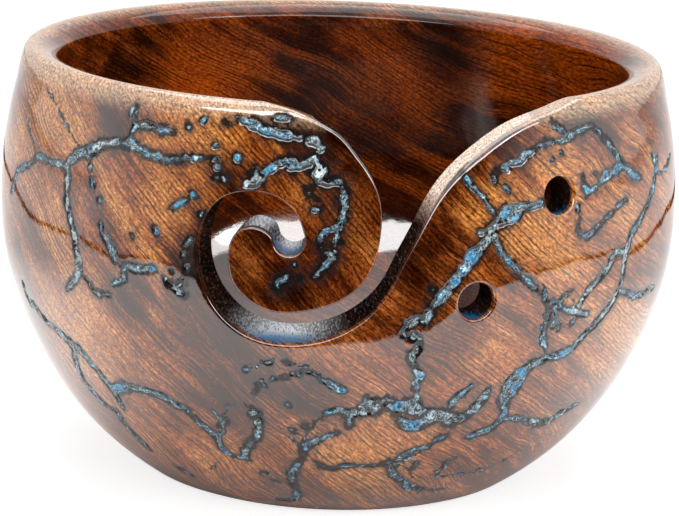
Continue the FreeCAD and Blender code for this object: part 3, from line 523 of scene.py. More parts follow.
# Places where the wood beside the resin is burnt wider: azimuth, height, reach
SOOT = [
    (-10.5, 89.0, 5.0), (-6.0, 84.0, 5.0), (-2.0, 80.5, 6.0), (1.0, 84.0, 4.0), (0.5, 67.0, 4.0), (-1.5, 62.5, 4.0),
    (-7.5, 57.5, 4.0), (-1.0, 76.0, 4.0), (-14.0, 79.5, 4.0), (-23.0, 62.0, 4.0), (-22.0, 57.0, 5.0),
    (-17.5, 82.5, 4.0), (24.0, 69.0, 4.0), (14.0, 54.0, 4.0), (12.0, 31.0, 7.0), (22.0, 28.0, 6.0), (-3.0, 27.0, 5.0),
]


def near_places(places, azimuth, s):
    """How near points are to any of some places: 1 at a place, 0 past its reach."""
    best = np.zeros(np.broadcast(azimuth, s).shape, np.float32)
    r = np.interp(s, P_S, P_R)
    for az, height, reach in places:
        s0 = np.interp(height, P_Z[:CREST], P_S[:CREST])
        turn = (azimuth - math.radians(az) + math.pi) % (2 * math.pi) - math.pi
        far = np.sqrt((turn * r) ** 2 + (s - s0) ** 2) / reach
        best = np.maximum(best, np.clip(1.35 - far, 0, 1))
    return best


crust = near_places(CRUSTS, cell_az[None], cell_s[:, None])
ragged = 0.24 * map_noise(1.6, 11) + 0.20 * map_noise(0.6, 12) + 0.20 * crust * map_noise(0.9, 13)
pool = near_places(POOLS, cell_az[None], cell_s[:, None])
pinch = 0.75 * np.clip(map_noise(3.0, 15) + 0.5 * map_noise(1.2, 16) - 0.12, 0, 1) * (1 - 0.7 * crust) * (1 - pool)
border = signed + ragged - 0.10 + pinch
lumps = 0.30 * map_noise(1.9, 21) + 0.20 * map_noise(1.0, 22) + 0.07 * map_noise(0.45, 23)
pits = np.clip(map_noise(1.1, 31) + 0.5 * map_noise(0.5, 32) - 0.55 + 0.42 * crust - pool, 0, 1)
resin_lift = 0.05 - 0.22 * np.clip((border + 0.15) / 0.5, 0, 1) + lumps * np.clip(-border / 0.3 + 0.6, 0.2, 1) * (
    1 + 1.2 * crust) - 1.3 * pits * np.clip((border + 0.9) / 0.6, 0.25, 1)
wood_lift = -0.5 * np.clip((0.02 - border) / 0.45, 0, 1) - np.clip(0.01 + 0.07 * map_noise(1.4, 41), 0, 1) * np.clip(
    (0.9 - border) / 0.8, 0, 1)


def sample(values, azimuth, s):
    """Values of the map at points of the surface."""
    x, y = map_column(azimuth), np.clip(map_row(s), 0, MAP_ROWS - 1.001)
    x0, y0 = np.floor(x).astype(int), y.astype(int)
    fx, fy = x - x0, y - y0
    x1 = (x0 + 1) % CELL_COLUMNS
    x0 = x0 % CELL_COLUMNS
    y1 = np.minimum(y0 + 1, MAP_ROWS - 1)
    top = values[y0, x0] * (1 - fx) + values[y0, x1] * fx
    low = values[y1, x0] * (1 - fx) + values[y1, x1] * fx
    return top * (1 - fy) + low * fy


# ---------------------------------------------------------------- the wooden body
def in_loop(points, loop):
    """Which points lie inside a closed loop."""
    inside = np.zeros(len(points), bool)
    low, high = loop.min(0), loop.max(0)
    near = np.nonzero(((points >= low) & (points <= high)).all(1))[0]
    a, b = loop, np.roll(loop, -1, 0)
    for chunk in np.array_split(near, max(1, len(near) // 2000)):
        x, y = points[chunk, 0][:, None], points[chunk, 1][:, None]
        crosses = (a[:, 1] > y) != (b[:, 1] > y)
        with np.errstate(divide="ignore", invalid="ignore"):
            at = a[:, 0] + (y - a[:, 1]) * (b[:, 0] - a[:, 0]) / (b[:, 1] - a[:, 1])
        inside[chunk] = (crosses & (x < at)).sum(1) % 2 == 1
    return inside


FLAT = BELT_RADIUS
loops = [loop * [FLAT, 1] for loop in [slot_loop] + hole_loops]
loops_all = np.vstack(loops)
tree = kdtree.KDTree(len(loops_all))
for i, (x, y) in enumerate(loops_all):
    tree.insert((x, y, 0), i)
tree.balance()

rows = np.arange(4, int(S_END / ROW_STEP / 4) * 4, dtype=int)
grid_j, grid_i = np.meshgrid(rows, np.arange(COLUMNS), indexing="ij")
grid_az = ((grid_i + 0.5 * (grid_j % 2)) / COLUMNS) * 2 * math.pi - math.pi
grid_s = grid_j * (S_END / rows[-1]) * rows[-1] / (rows[-1] + 4)
level = np.zeros(grid_i.shape, int)
for k in (1, 2, 3):
    step = 2 ** k
    even = (grid_j % step == 0) & ((grid_i - (step // 2) * ((grid_j // step) % 2)) % step == 0)
    level[even] = k
to_resin = np.where(grid_s < S_CREST, sample(signed, grid_az, np.minimum(grid_s, S_CREST - 1)), 6.0)
need = np.where(to_resin < 1.2, 0, np.where(to_resin < 3.2, 1, 2))
need[(grid_s > S_CREST - 14) & (grid_s < S_CREST + 8)] = np.minimum(
    need[(grid_s > S_CREST - 14) & (grid_s < S_CREST + 8)], 1)
low_part = grid_s < 30
need[low_part] = np.minimum(need[low_part] + (to_resin[low_part] > 0.8), 3)
flat_points = np.stack([grid_az * FLAT, grid_s], -1)
low, high = loops_all.min(0) - 3, loops_all.max(0) + 3
near = ((flat_points > low) & (flat_points < high)).all(-1)
too_near = np.zeros(near.shape, bool)
for j, i in zip(*np.nonzero(near)):
    away = tree.find((flat_points[j, i, 0], flat_points[j, i, 1], 0))[2]
    if away < 1.5:
        need[j, i] = min(need[j, i], 1 if away > 0.7 else 0)
    too_near[j, i] = away < 0.3
use = (level >= need) & ~too_near & (np.abs(grid_az) < math.pi - 0.004)
points = flat_points[use]
for loop in loops:
    points = points[~in_loop(points, loop)]

seam_s = np.linspace(0, S_END, int(S_END / 1.7))
ring_az = np.linspace(-math.pi, math.pi, COLUMNS // 4 + 1)
rim = []
rim += [(-math.pi * FLAT, s) for s in seam_s]
rim += [(a * FLAT, S_END) for a in ring_az[1:]]
rim += [(math.pi * FLAT, s) for s in seam_s[::-1][1:]]
rim += [(a * FLAT, 0.0) for a in ring_az[::-1][1:-1]]
chains = [np.array(rim)] + loops
edges, base = [], 0
for chain in chains:
    n = len(chain)
    edges += [(base + i, base + (i + 1) % n) for i in range(n)]
    base += n
flat_all = np.vstack(chains + [points])
cdt = delaunay_2d_cdt([Vector(p) for p in flat_all], edges, [], 0, 1e-5, False)
sheet_flat = np.array([tuple(v) for v in cdt[0]])
sheet_faces = np.array(cdt[2], int)
middles = sheet_flat[sheet_faces].mean(1)
drop = np.zeros(len(sheet_faces), bool)
for loop in loops:
    drop |= in_loop(middles, loop)
sheet_faces = sheet_faces[~drop]
sheet_az, sheet_s = sheet_flat[:, 0] / FLAT, sheet_flat[:, 1]
outside = sheet_s < S_CREST - 0.5
edge_hold = np.array([min(1.0, tree.find((x, y, 0))[2] / 0.5) for x, y in sheet_flat])
lift = np.where(outside, sample(wood_lift, sheet_az, np.minimum(sheet_s, S_CREST - 1)), 0) * edge_hold
sheet_co = place(sheet_az, sheet_s, lift)

co, faces, base = [sheet_co], [sheet_faces], len(sheet_co)


def add_grid(rows, closed):
    """Quads over a grid of points, as triangles."""
    global base
    n, m = rows.shape[:2]
    index = base + np.arange(n * m).reshape(n, m)
    nxt = np.roll(index, -1, 0) if closed else index[1:]
    cur = index if closed else index[:-1]
    a, b, c, d = cur[:, :-1], cur[:, 1:], nxt[:, 1:], nxt[:, :-1]
    faces.append(np.stack([a, b, c], -1).reshape(-1, 3))
    faces.append(np.stack([a, c, d], -1).reshape(-1, 3))
    co.append(rows.reshape(-1, 3))
    base += n * m


add_grid(slot_rows, False)
for grid in hole_rows:
    add_grid(grid, True)

# The inside below the sheet, and the foot with its recess
inner_s = np.append(np.arange(S_END, P_S[-1], 2.2), P_S[-1])
az = ring_az[:-1]
add_grid(np.stack([place(az, np.full(len(az), s)) for s in inner_s], 1), True)
foot_profile = [
    (None, None), (FOOT_RADIUS - FOOT_BEVEL + 0.55, 0.32), (FOOT_RADIUS - FOOT_BEVEL + 0.15, 0.05),
    (FOOT_RADIUS - FOOT_BEVEL - 0.3, 0), (37.0, 0), (FOOT_RECESS_RADIUS + FOOT_RECESS_DEPTH + 0.3, 0),
    (FOOT_RECESS_RADIUS + FOOT_RECESS_DEPTH, 0.03), (FOOT_RECESS_RADIUS + 0.1, FOOT_RECESS_DEPTH - 0.1),
    (FOOT_RECESS_RADIUS - 0.2, FOOT_RECESS_DEPTH), (20.0, FOOT_RECESS_DEPTH), (8.0, FOOT_RECESS_DEPTH),
    (0.4, FOOT_RECESS_DEPTH),
]
foot_profile[0] = (P_R[0], P_Z[0])
add_grid(np.stack([np.stack([r * np.sin(az), -r * np.cos(az), np.full(len(az), z)], -1)
                   for r, z in foot_profile], 1), True)
caps = []
for grid_start, count, size in ((base - len(az) * len(foot_profile), len(az), len(foot_profile)),
                                (base - len(az) * (len(foot_profile) + len(inner_s)), len(az), len(inner_s))):
    caps.append([grid_start + size - 1 + i * size for i in range(count)])

body_co = np.vstack(co)
body_faces = [tuple(f) for f in np.vstack(faces)] + [tuple(c) for c in caps]


def mesh_object(name, co, faces, weld=True):
    """A smooth mesh object from millimetre points."""
    mesh = bpy.data.meshes.new(name)
    mesh.from_pydata((co * MM).tolist(), [], [tuple(int(i) for i in f) for f in faces])
    if weld:
        bm = bmesh.new()
        bm.from_mesh(mesh)
        bmesh.ops.remove_doubles(bm, verts=bm.verts, dist=2e-6)
        bmesh.ops.dissolve_degenerate(bm, edges=bm.edges, dist=1e-7)
        bmesh.ops.recalc_face_normals(bm, faces=bm.faces)
        bm.to_mesh(mesh)
        bm.free()
    mesh.shade_smooth()
    obj = bpy.data.objects.new(name, mesh)
    bpy.context.scene.collection.objects.link(obj)
    return obj


bowl = mesh_object("turned_bowl", body_co, body_faces)
open_edges = 0
bm = bmesh.new()
bm.from_mesh(bowl.data)
open_edges = sum(1 for e in bm.edges if len(e.link_faces) != 2)
bm.free()
print("bowl faces", len(bowl.data.polygons), "edges that aren't shared by two faces", open_edges)
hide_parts("bowl_body")
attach(bowl, "root")


def vertex_points(mesh):
    co = np.empty(len(mesh.vertices) * 3, np.float32)
    mesh.vertices.foreach_get("co", co)
    return co.reshape(-1, 3).astype(float) / MM


def set_attribute(mesh, name, values):
    layer = mesh.attributes.new(name, "FLOAT", "POINT")
    layer.data.foreach_set("value", np.asarray(values, np.float32))


# Darker patches in the wood: azimuth, height, reach
DARK = [
    (-42.0, 88.0, 6.5), (-38.0, 86.0, 5.5), (28.0, 86.0, 8.0), (34.0, 89.0, 7.0),
    (42.0, 90.0, 7.0), (50.0, 89.0, 6.0), (22.0, 82.5, 6.0), (-7.0, 89.5, 7.0), (-1.0, 90.0, 8.0), (4.5, 84.0, 8.0),
    (-18.6, 79.0, 6.0), (-21.0, 68.0, 8.0), (-21.0, 61.0, 8.0), (-23.0, 53.0, 8.0), (17.0, 82.0, 6.0),
    (11.5, 62.5, 5.0), (-7.0, 57.5, 6.0), (-10.5, 71.0, 6.0), (-26.0, 82.0, 4.0), (-16.0, 33.0, 15.0),
    (-20.0, 46.0, 12.0), (-4.0, 36.0, 9.0), (-34.0, 52.0, 7.0),
    (150.0, 60.0, 14.0), (100.0, 80.0, 12.0), (200.0, 50.0, 14.0), (250.0, 70.0, 12.0),
]
# Places where the wood is painted lighter and golden, partly its own golden tone and partly a painted sheen of the
# grain's shimmer: azimuth, height, reach
PAINTED_SHEEN = [
    (3.5, 78.0, 4.5), (2.7, 73.0, 3.5), (4.4, 68.0, 3.5), (-26.0, 87.0, 7.0), (-32.0, 85.5, 5.0), (-24.0, 77.0, 7.0),
    (-28.0, 72.0, 7.0), (26.0, 78.0, 5.0), (23.0, 73.0, 4.0), (37.0, 84.0, 6.0), (40.0, 68.0, 8.0), (31.0, 71.0, 6.0),
    (-19.0, 86.0, 5.0), (-6.0, 76.0, 4.0), (-49.0, 82.0, 8.0), (-60.0, 84.0, 10.0), (-68.0, 74.0, 12.0),
    (-20.0, 18.0, 10.0), (10.0, 20.0, 12.0), (-50.0, 40.0, 12.0), (60.0, 40.0, 12.0),
    (55.0, 68.0, 10.0), (120.0, 70.0, 14.0),
    (175.0, 60.0, 12.0), (230.0, 62.0, 14.0), (285.0, 66.0, 12.0),
]
# Inside the bowl, where the wood is orange, and where shade is painted in darker, as on the far wall where it shows
# through the guide holes
WARM_INSIDE = [(118.0, 84.0, 24.0), (140.0, 88.0, 14.0), (168.0, 74.0, 12.0), (212.0, 72.0, 16.0)]
SHADE_INSIDE = [(150.0, 26.0, 16.0), (141.0, 46.0, 12.0), (158.0, 82.0, 12.0), (186.0, 70.0, 8.0), (172.0, 67.0, 13.0)]
# Cut faces where resin shows blue: azimuth, height, reach
BLUE_CUT = [(-8.0, 44.5, 9.0), (-7.5, 66.0, 5.0), (37.0, 73.0, 4.0), (22.0, 52.0, 3.5)]
# Cut faces that shine silver, where the varnish stays glossy and the painted white glints are strongest: azimuth,
# height, reach
SHINE = [(-8.0, 44.5, 11.0), (-7.5, 66.0, 5.0), (-12.0, 72.5, 5.0)]
CHAR_START = 17.0
CHAR_FULL = 24.0
# The wood round the scroll is made darker: azimuth, height, reach
DIM = [
    (-5.0, 64.0, 14.0), (3.0, 76.0, 14.0), (-14.0, 56.0, 9.0), (14.0, 58.0, 7.0), (-21.0, 62.0, 7.0), (-3.0, 88.0, 7.0),
    (15.0, 69.0, 6.0), (20.0, 47.0, 7.0),
]
pts = vertex_points(bowl.data)
r, z = np.hypot(pts[:, 0], pts[:, 1]), pts[:, 2]
v_az = np.arctan2(pts[:, 0], -pts[:, 1])
outer_r = np.interp(z, P_Z[:CREST + 1], P_R[:CREST + 1])
inner_r = np.interp(z, P_Z[CREST:][::-1], P_R[CREST:][::-1])
on_outside = r > outer_r - 1.2
on_inside = ((r < inner_r + 0.25) | ((z < 35) & (r < outer_r - 1.2))) & (z > 4)
on_lip = z > BOWL_HEIGHT - 3.2
v_s = np.interp(z, P_Z[:CREST], P_S[:CREST])
burn = np.where(on_outside, sample(burnt_reach + ragged, v_az, np.minimum(v_s, S_CREST - 1)), 6.0)
in_wall = ~(on_outside | on_inside | on_lip) & (z > 4)
soot = near_places(SOOT, v_az, v_s)
set_attribute(bowl.data, "to_resin", burn / (1 + 0.8 * soot))
burnt = np.where(v_az > math.radians(7), np.clip((BOWL_HEIGHT - z - CHAR_START) / (CHAR_FULL - CHAR_START), 0, 1), 1)
near_hole = np.zeros(len(pts), bool)
for mouth, out in hole_frames:
    from_axis = pts - mouth
    from_axis -= out * (from_axis @ out)[:, None]
    near_hole |= (np.linalg.norm(from_axis, axis=1) < GUIDE_BORE_RADIUS + 0.4) & (pts @ out > 0)
burnt = np.where(near_hole, 1, burnt)
lip = np.maximum(np.clip((z - BOWL_HEIGHT + 5) / 3, 0, 1), in_wall * (1 - burnt))
lip *= np.where(on_inside, np.clip((r - LIP_CREST_RADIUS) / 4.6 + 1, 0, 1), 1)
set_attribute(bowl.data, "lip", lip)
set_attribute(bowl.data, "pale", in_wall * (1 - burnt))
set_attribute(bowl.data, "shine", near_places(SHINE, v_az, v_s) * in_wall)
set_attribute(bowl.data, "bore", near_hole & in_wall)
set_attribute(bowl.data, "dim", near_places(DIM, v_az, v_s) * on_outside)
set_attribute(bowl.data, "cut", in_wall * burnt)
outer_side = np.clip(1 - (outer_r - r) / (0.8 * WALL), 0, 1)
set_attribute(bowl.data, "tint", near_places(BLUE_CUT, v_az, v_s) * in_wall * outer_side)
set_attribute(bowl.data, "glow", near_places(PAINTED_SHEEN, v_az, v_s) * on_outside)
set_attribute(bowl.data, "hollow", (on_inside & ~on_outside).astype(float))
set_attribute(bowl.data, "warm", near_places(WARM_INSIDE, v_az, v_s) * on_inside)
set_attribute(bowl.data, "inside_shade", near_places(SHADE_INSIDE, v_az, v_s) * on_inside)
set_attribute(bowl.data, "shade", near_places(DARK, v_az, v_s) * on_outside)

# ---------------------------------------------------------------- the resin
spread = owner.copy()
for _ in range(5):
    for shift in ((0, 1), (0, -1), (1, 0), (-1, 0)):
        moved = np.roll(spread, shift, (0, 1))
        spread = np.where(spread == 0, moved, spread)
slot_flat = loops[0]


def resin_piece(index, name):
    """A lumpy skin of resin over one node, whose border dips under the wood."""
    even_rows, even_cols = np.arange(0, MAP_ROWS - 2, 2), np.arange(0, CELL_COLUMNS, 2)
    quad = spread[1:MAP_ROWS - 1:2][:len(even_rows), 1::2][:, :len(even_cols)] == index
    j, i = np.nonzero(quad)
    if len(j) == 0:
        return None
    nxt = (i + 1) % len(even_cols)
    corners = np.stack([j * len(even_cols) + i, j * len(even_cols) + nxt, (j + 1) * len(even_cols) + nxt,
                        (j + 1) * len(even_cols) + i], 1)
    used, faces = np.unique(corners, return_inverse=True)
    faces = faces.reshape(-1, 4)
    vj, vi = used // len(even_cols) * 2, used % len(even_cols) * 2
    az, s = cell_az[vi], cell_s[vj]
    flat = np.stack([az * FLAT, s], 1)
    inside = np.zeros(len(flat), bool)
    for loop in loops:
        inside |= in_loop(flat, loop)
    faces = faces[~inside[faces].any(1)]
    used2, faces = np.unique(faces, return_inverse=True)
    faces = faces.reshape(-1, 4)
    az, s, vj, vi = az[used2], s[used2], vj[used2], vi[used2]
    lift = resin_lift[vj, vi]
    piece = mesh_object(name + "_resin", place(az, s, lift), faces, weld=False)
    set_attribute(piece.data, "rim", -border[vj, vi])
    set_attribute(piece.data, "crust", crust[vj, vi])
    set_attribute(piece.data, "clear", near_places(CLEAR, az, s))
    set_attribute(piece.data, "pool", pool[vj, vi])
    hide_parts(name)
    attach(piece, "root")
    return piece


resin_pieces = [resin_piece(i, name) for i, name in enumerate(resin_nodes, 1)]
print("resin faces", sum(len(p.data.polygons) for p in resin_pieces if p))


# ---------------------------------------------------------------- materials
class Nodes:
    """A short way to write a material's nodes."""

    def __init__(self, name):
        self.material = bpy.data.materials.new(name)
        self.material.use_nodes = True
        self.tree = self.material.node_tree
        self.tree.nodes.clear()
        self.out = self.tree.nodes.new("ShaderNodeOutputMaterial")

    def node(self, kind, inputs=None, **settings):
        n = self.tree.nodes.new(kind)
        for key, value in settings.items():
            setattr(n, key, value)
        for key, value in (inputs or {}).items():
            if isinstance(value, bpy.types.NodeSocket):
                self.tree.links.new(value, n.inputs[key])
            else:
                n.inputs[key].default_value = value
        return n

    def math(self, operation, a, b=0.0, c=0.0, clamp=False):
        return self.node("ShaderNodeMath", {0: a, 1: b, 2: c}, operation=operation, use_clamp=clamp).outputs[0]

    def attribute(self, name):
        return self.node("ShaderNodeAttribute", attribute_name=name).outputs["Fac"]

    def noise(self, vector, scale, detail=2.0, rough=0.5, distortion=0.0):
        n = self.node("ShaderNodeTexNoise", {"Vector": vector, "Scale": scale, "Detail": detail,
                                             "Roughness": rough, "Distortion": distortion})
        return n.outputs["Fac"]

    def smooth(self, value, low, high):
        n = self.node("ShaderNodeMapRange", {0: value, 1: low, 2: high, 3: 0.0, 4: 1.0},
                      interpolation_type="SMOOTHSTEP", clamp=True)
        return n.outputs[0]

    def mix(self, factor, a, b, blend="MIX"):
        n = self.node("ShaderNodeMix", {0: factor, 6: a, 7: b}, data_type="RGBA", blend_type=blend)
        return n.outputs[2]

    def dot(self, vector, way):
        return self.node("ShaderNodeVectorMath", {0: vector, 1: way}, operation="DOT_PRODUCT").outputs["Value"]


def rgb(r, g, b):
    """A colour as a picture shows it, from 0 to 255, as the shader wants it."""
    return tuple(((c / 255 + 0.055) / 1.055) ** 2.4 if c > 10 else c / 255 / 12.92 for c in (r, g, b)) + (1.0,)


# The log's heart: the growth rings run round a slanted line through here, and this much further per millimetre of depth
PITH_X, PITH_Z = 247.0, 258.5
PITH_LEAN_X, PITH_LEAN_Z = 0.454, -0.538
PITH_AWAY = 320.0
RING_STEP = 2.0


def wood_material():
    m = Nodes("varnished_wood")
    where = m.node("ShaderNodeTexCoord").outputs["Object"]
    mm = m.node("ShaderNodeVectorMath", {0: where, "Scale": 1000.0}, operation="SCALE").outputs[0]
    bend = m.node("ShaderNodeTexNoise", {"Vector": mm, "Scale": 0.03, "Detail": 2.0}).outputs["Color"]
    bend = m.node("ShaderNodeVectorMath", {0: bend, 1: (0.5, 0.5, 0.5)}, operation="SUBTRACT").outputs[0]
    bend = m.node("ShaderNodeVectorMath", {0: bend, "Scale": 9.0}, operation="SCALE").outputs[0]
    bent = m.node("ShaderNodeVectorMath", {0: mm, 1: bend}, operation="ADD").outputs[0]
    x, y, z = m.node("ShaderNodeSeparateXYZ", {0: bent}).outputs
    away_x = m.math("SUBTRACT", x, m.math("MULTIPLY_ADD", y, PITH_LEAN_X, PITH_X))
    away_z = m.math("SUBTRACT", m.math("MULTIPLY_ADD", y, PITH_LEAN_Z, PITH_Z), z)
    ring = m.math("SQRT", m.math("ADD", m.math("MULTIPLY", away_x, away_x), m.math("MULTIPLY", away_z, away_z)))
    turn = m.math("MULTIPLY", m.math("ARCTAN2", away_x, away_z), PITH_AWAY)
    # The hollow's grain runs flatter
    hollow = m.attribute("hollow")
    ring = m.math("ADD", m.math("MULTIPLY", ring, m.math("SUBTRACT", 1.0, hollow)),
                  m.math("MULTIPLY", m.dot(bent, (0.46, 0.25, 0.89)), hollow))
    turn = m.math("ADD", m.math("MULTIPLY", turn, m.math("SUBTRACT", 1.0, hollow)),
                  m.math("MULTIPLY", m.dot(bent, (0.89, 0.2, -0.46)), hollow))

    def grain(a, b, c, detail=2.0, rough=0.55):
        """Noise stretched across the rings, round them and along the fibres."""
        at = m.node("ShaderNodeCombineXYZ", {0: m.math("MULTIPLY", ring, a), 1: m.math("MULTIPLY", turn, b),
                                             2: m.math("MULTIPLY", y, c)}).outputs[0]
        return m.noise(at, 1.0, detail, rough)

    def lines(step, sway, thick, keep):
        """Thin dark lines along the rings."""
        t = m.math("ADD", m.math("DIVIDE", ring, step), m.math("MULTIPLY", grain(0.05, 0.022, 0.016), sway))
        t = m.math("ADD", t, m.math("MULTIPLY", m.noise(mm, 0.9, 3.0, 0.7), 0.30))
        away = m.math("ABSOLUTE", m.math("SUBTRACT", m.math("FRACT", t), 0.5))
        return m.math("MULTIPLY", m.smooth(away, thick, thick * 0.3), keep)

    bands = grain(0.24, 0.016, 0.014, 3.0)
    figure = grain(0.05, 0.06, 0.05, 3.0)
    fleck = grain(2.6, 1.1, 0.5, 2.0, 0.6)
    fibre = grain(1.1, 0.16, 0.16, 3.0, 0.65)
    blotch = m.noise(mm, 0.06, 4.0, 0.55, 0.4)
    speck = m.noise(mm, 2.5, 2.0, 0.65)
    shade, glow, pale_wood = m.attribute("shade"), m.attribute("glow"), m.attribute("pale")
    worm = m.math("ABSOLUTE", m.math("SUBTRACT", grain(1.25, 0.62, 0.55, 2.0, 0.5), 0.5))
    main_lines = lines(RING_STEP, 2.0, 0.095, m.smooth(grain(0.30, 0.10, 0.08), 0.42, 0.54))
    thin_lines = lines(0.93, 2.2, 0.25, m.smooth(grain(0.22, 0.05, 0.05), 0.40, 0.54))

    tone = m.math("ADD", m.math("MULTIPLY", bands, 0.55), m.math("MULTIPLY", figure, 0.25))
    tone = m.math("ADD", tone, m.math("MULTIPLY", fibre, 0.45))
    tone = m.math("ADD", tone, m.math("MULTIPLY", glow, 0.10))
    tone = m.math("SUBTRACT", tone, m.math("MULTIPLY", shade, 0.12))
    ramp = m.node("ShaderNodeValToRGB", {0: tone})
    stops = [(0.46, rgb(82, 36, 14)), (0.55, rgb(128, 62, 22)), (0.64, rgb(176, 96, 38)), (0.76, rgb(216, 144, 72))]
    elements = ramp.color_ramp.elements
    while len(elements) < len(stops):
        elements.new(0.5)
    for element, (position, colour) in zip(elements, stops):
        element.position = position
        element.color = colour
    colour = ramp.outputs[0]
    # Painted sheen: the grain's golden shimmer, painted as a lighter golden colour where the glow attribute is high
    colour = m.mix(m.math("MULTIPLY", glow, 0.34), colour, rgb(204, 124, 56))
    colour = m.mix(m.math("MULTIPLY", m.attribute("dim"), 0.95), colour, (0.32, 0.22, 0.18, 1.0), "MULTIPLY")
    colour = m.mix(m.math("MULTIPLY", shade, 0.44), colour, (0.40, 0.40, 0.44, 1.0), "MULTIPLY")
    patch = m.smooth(m.math("ADD", blotch, m.math("MULTIPLY", m.math("SUBTRACT", shade, glow), 0.22)), 0.58, 0.70)
    colour = m.mix(m.math("MULTIPLY", patch, 0.62), colour, (0.40, 0.36, 0.36, 1.0), "MULTIPLY")
    inner_patch = m.smooth(grain(0.028, 0.022, 0.012, 3.0, 0.6), 0.47, 0.56)
    inner_wood = m.math("SUBTRACT", hollow, m.attribute("lip"), clamp=True)
    colour = m.mix(m.math("MULTIPLY", inner_wood, 0.8), colour, (0.40, 0.20, 0.10, 1.0), "MULTIPLY")
    colour = m.mix(m.math("MULTIPLY", m.math("MULTIPLY", inner_patch, inner_wood), 0.85), colour, rgb(38, 14, 7))
    colour = m.mix(m.math("MULTIPLY", m.smooth(bands, 0.50, 0.60), m.math("MULTIPLY", inner_wood, 0.55)), colour,
                   rgb(156, 70, 16))
    colour = m.mix(m.math("MULTIPLY", m.math("MULTIPLY", m.attribute("warm"), inner_wood), 0.62), colour, rgb(202, 92, 18))
    # Painted shade inside the bowl, darkest where the far wall shows through the guide holes
    colour = m.mix(m.math("MULTIPLY", m.attribute("inside_shade"), 0.85), colour, (0.22, 0.20, 0.20, 1.0), "MULTIPLY")
    # The lip and the unburnt cut faces are made cream and near white: partly their paler bare wood, partly a painted
    # highlight of the light from above
    colour = m.mix(m.math("MULTIPLY", m.attribute("lip"), 0.56), colour, rgb(230, 196, 158))
    colour = m.mix(m.math("MULTIPLY", pale_wood, 0.80), colour, rgb(255, 226, 200))
    colour = m.mix(m.math("MULTIPLY", m.smooth(fleck, 0.53, 0.66), 0.72), colour, (1.9, 1.9, 1.9, 1.0), "MULTIPLY")
    colour = m.mix(m.math("MULTIPLY", m.smooth(fleck, 0.48, 0.35), 0.88), colour, (0.32, 0.28, 0.26, 1.0), "MULTIPLY")
    colour = m.mix(m.math("MULTIPLY", m.smooth(speck, 0.46, 0.32), 0.60), colour, (0.35, 0.30, 0.28, 1.0), "MULTIPLY")
    colour = m.mix(m.math("MULTIPLY", m.smooth(worm, 0.045, 0.012), 0.55), colour, (0.36, 0.30, 0.27, 1.0), "MULTIPLY")
    plain_lip = m.math("SUBTRACT", 1.0, m.math("MAXIMUM", pale_wood, m.math("MULTIPLY", m.attribute("lip"), 0.85)))
    thin_lines = m.math("MULTIPLY", thin_lines, plain_lip)
    colour = m.mix(m.math("MULTIPLY", thin_lines, 0.80), colour, (0.34, 0.28, 0.26, 1.0), "MULTIPLY")
    colour = m.mix(m.math("MULTIPLY", m.math("MULTIPLY", main_lines, plain_lip), m.math("MULTIPLY_ADD", glow, -0.22, 0.84)), colour, rgb(28, 14, 7))

    # charring beside the resin and on the cut faces, with white glints painted into the cut faces (painted glints)
    near = m.attribute("to_resin")
    wander = m.math("SUBTRACT", m.noise(mm, 0.8, 3.0, 0.65), 0.5)
    halo = m.smooth(m.math("MULTIPLY_ADD", wander, 3.2, near), 2.1, 0.2)
    char = m.smooth(m.math("MULTIPLY_ADD", wander, 1.8, near), 0.85, 0.25)
    colour = m.mix(m.math("MULTIPLY", halo, 0.52), colour, rgb(46, 40, 37))
    colour = m.mix(m.math("MULTIPLY", char, 0.90), colour, rgb(18, 21, 24))
    cut = m.attribute("cut")
    streak = m.noise(m.node("ShaderNodeVectorMath", {0: mm, 1: (2.6, 0.30, 2.6)}, operation="MULTIPLY").outputs[0],
                     1.0, 4.0, 0.65)
    shine = m.attribute("shine")
    # Painted glints: white specks painted into the cut faces' colour, strongest where they shine
    painted_glint = m.smooth(m.math("MULTIPLY_ADD", shine, 0.20, streak), 0.52, 0.80)
    painted_glint = m.math("MULTIPLY", painted_glint, m.math("MULTIPLY_ADD", shine, 0.72, 0.28, clamp=True))
    char_and_painted_glints = m.mix(painted_glint, rgb(4, 4, 6), rgb(200, 210, 220))
    char_and_painted_glints = m.mix(m.math("MULTIPLY", m.attribute("bore"), 0.7), char_and_painted_glints, rgb(8, 8, 10))
    char_and_painted_glints = m.mix(m.smooth(m.math("MULTIPLY_ADD", m.math("SUBTRACT", streak, 0.5), 1.2, m.attribute("tint")), 0.15, 0.65),
                    char_and_painted_glints, rgb(0, 94, 142))
    colour = m.mix(m.math("MULTIPLY", cut, 0.95), colour, char_and_painted_glints)

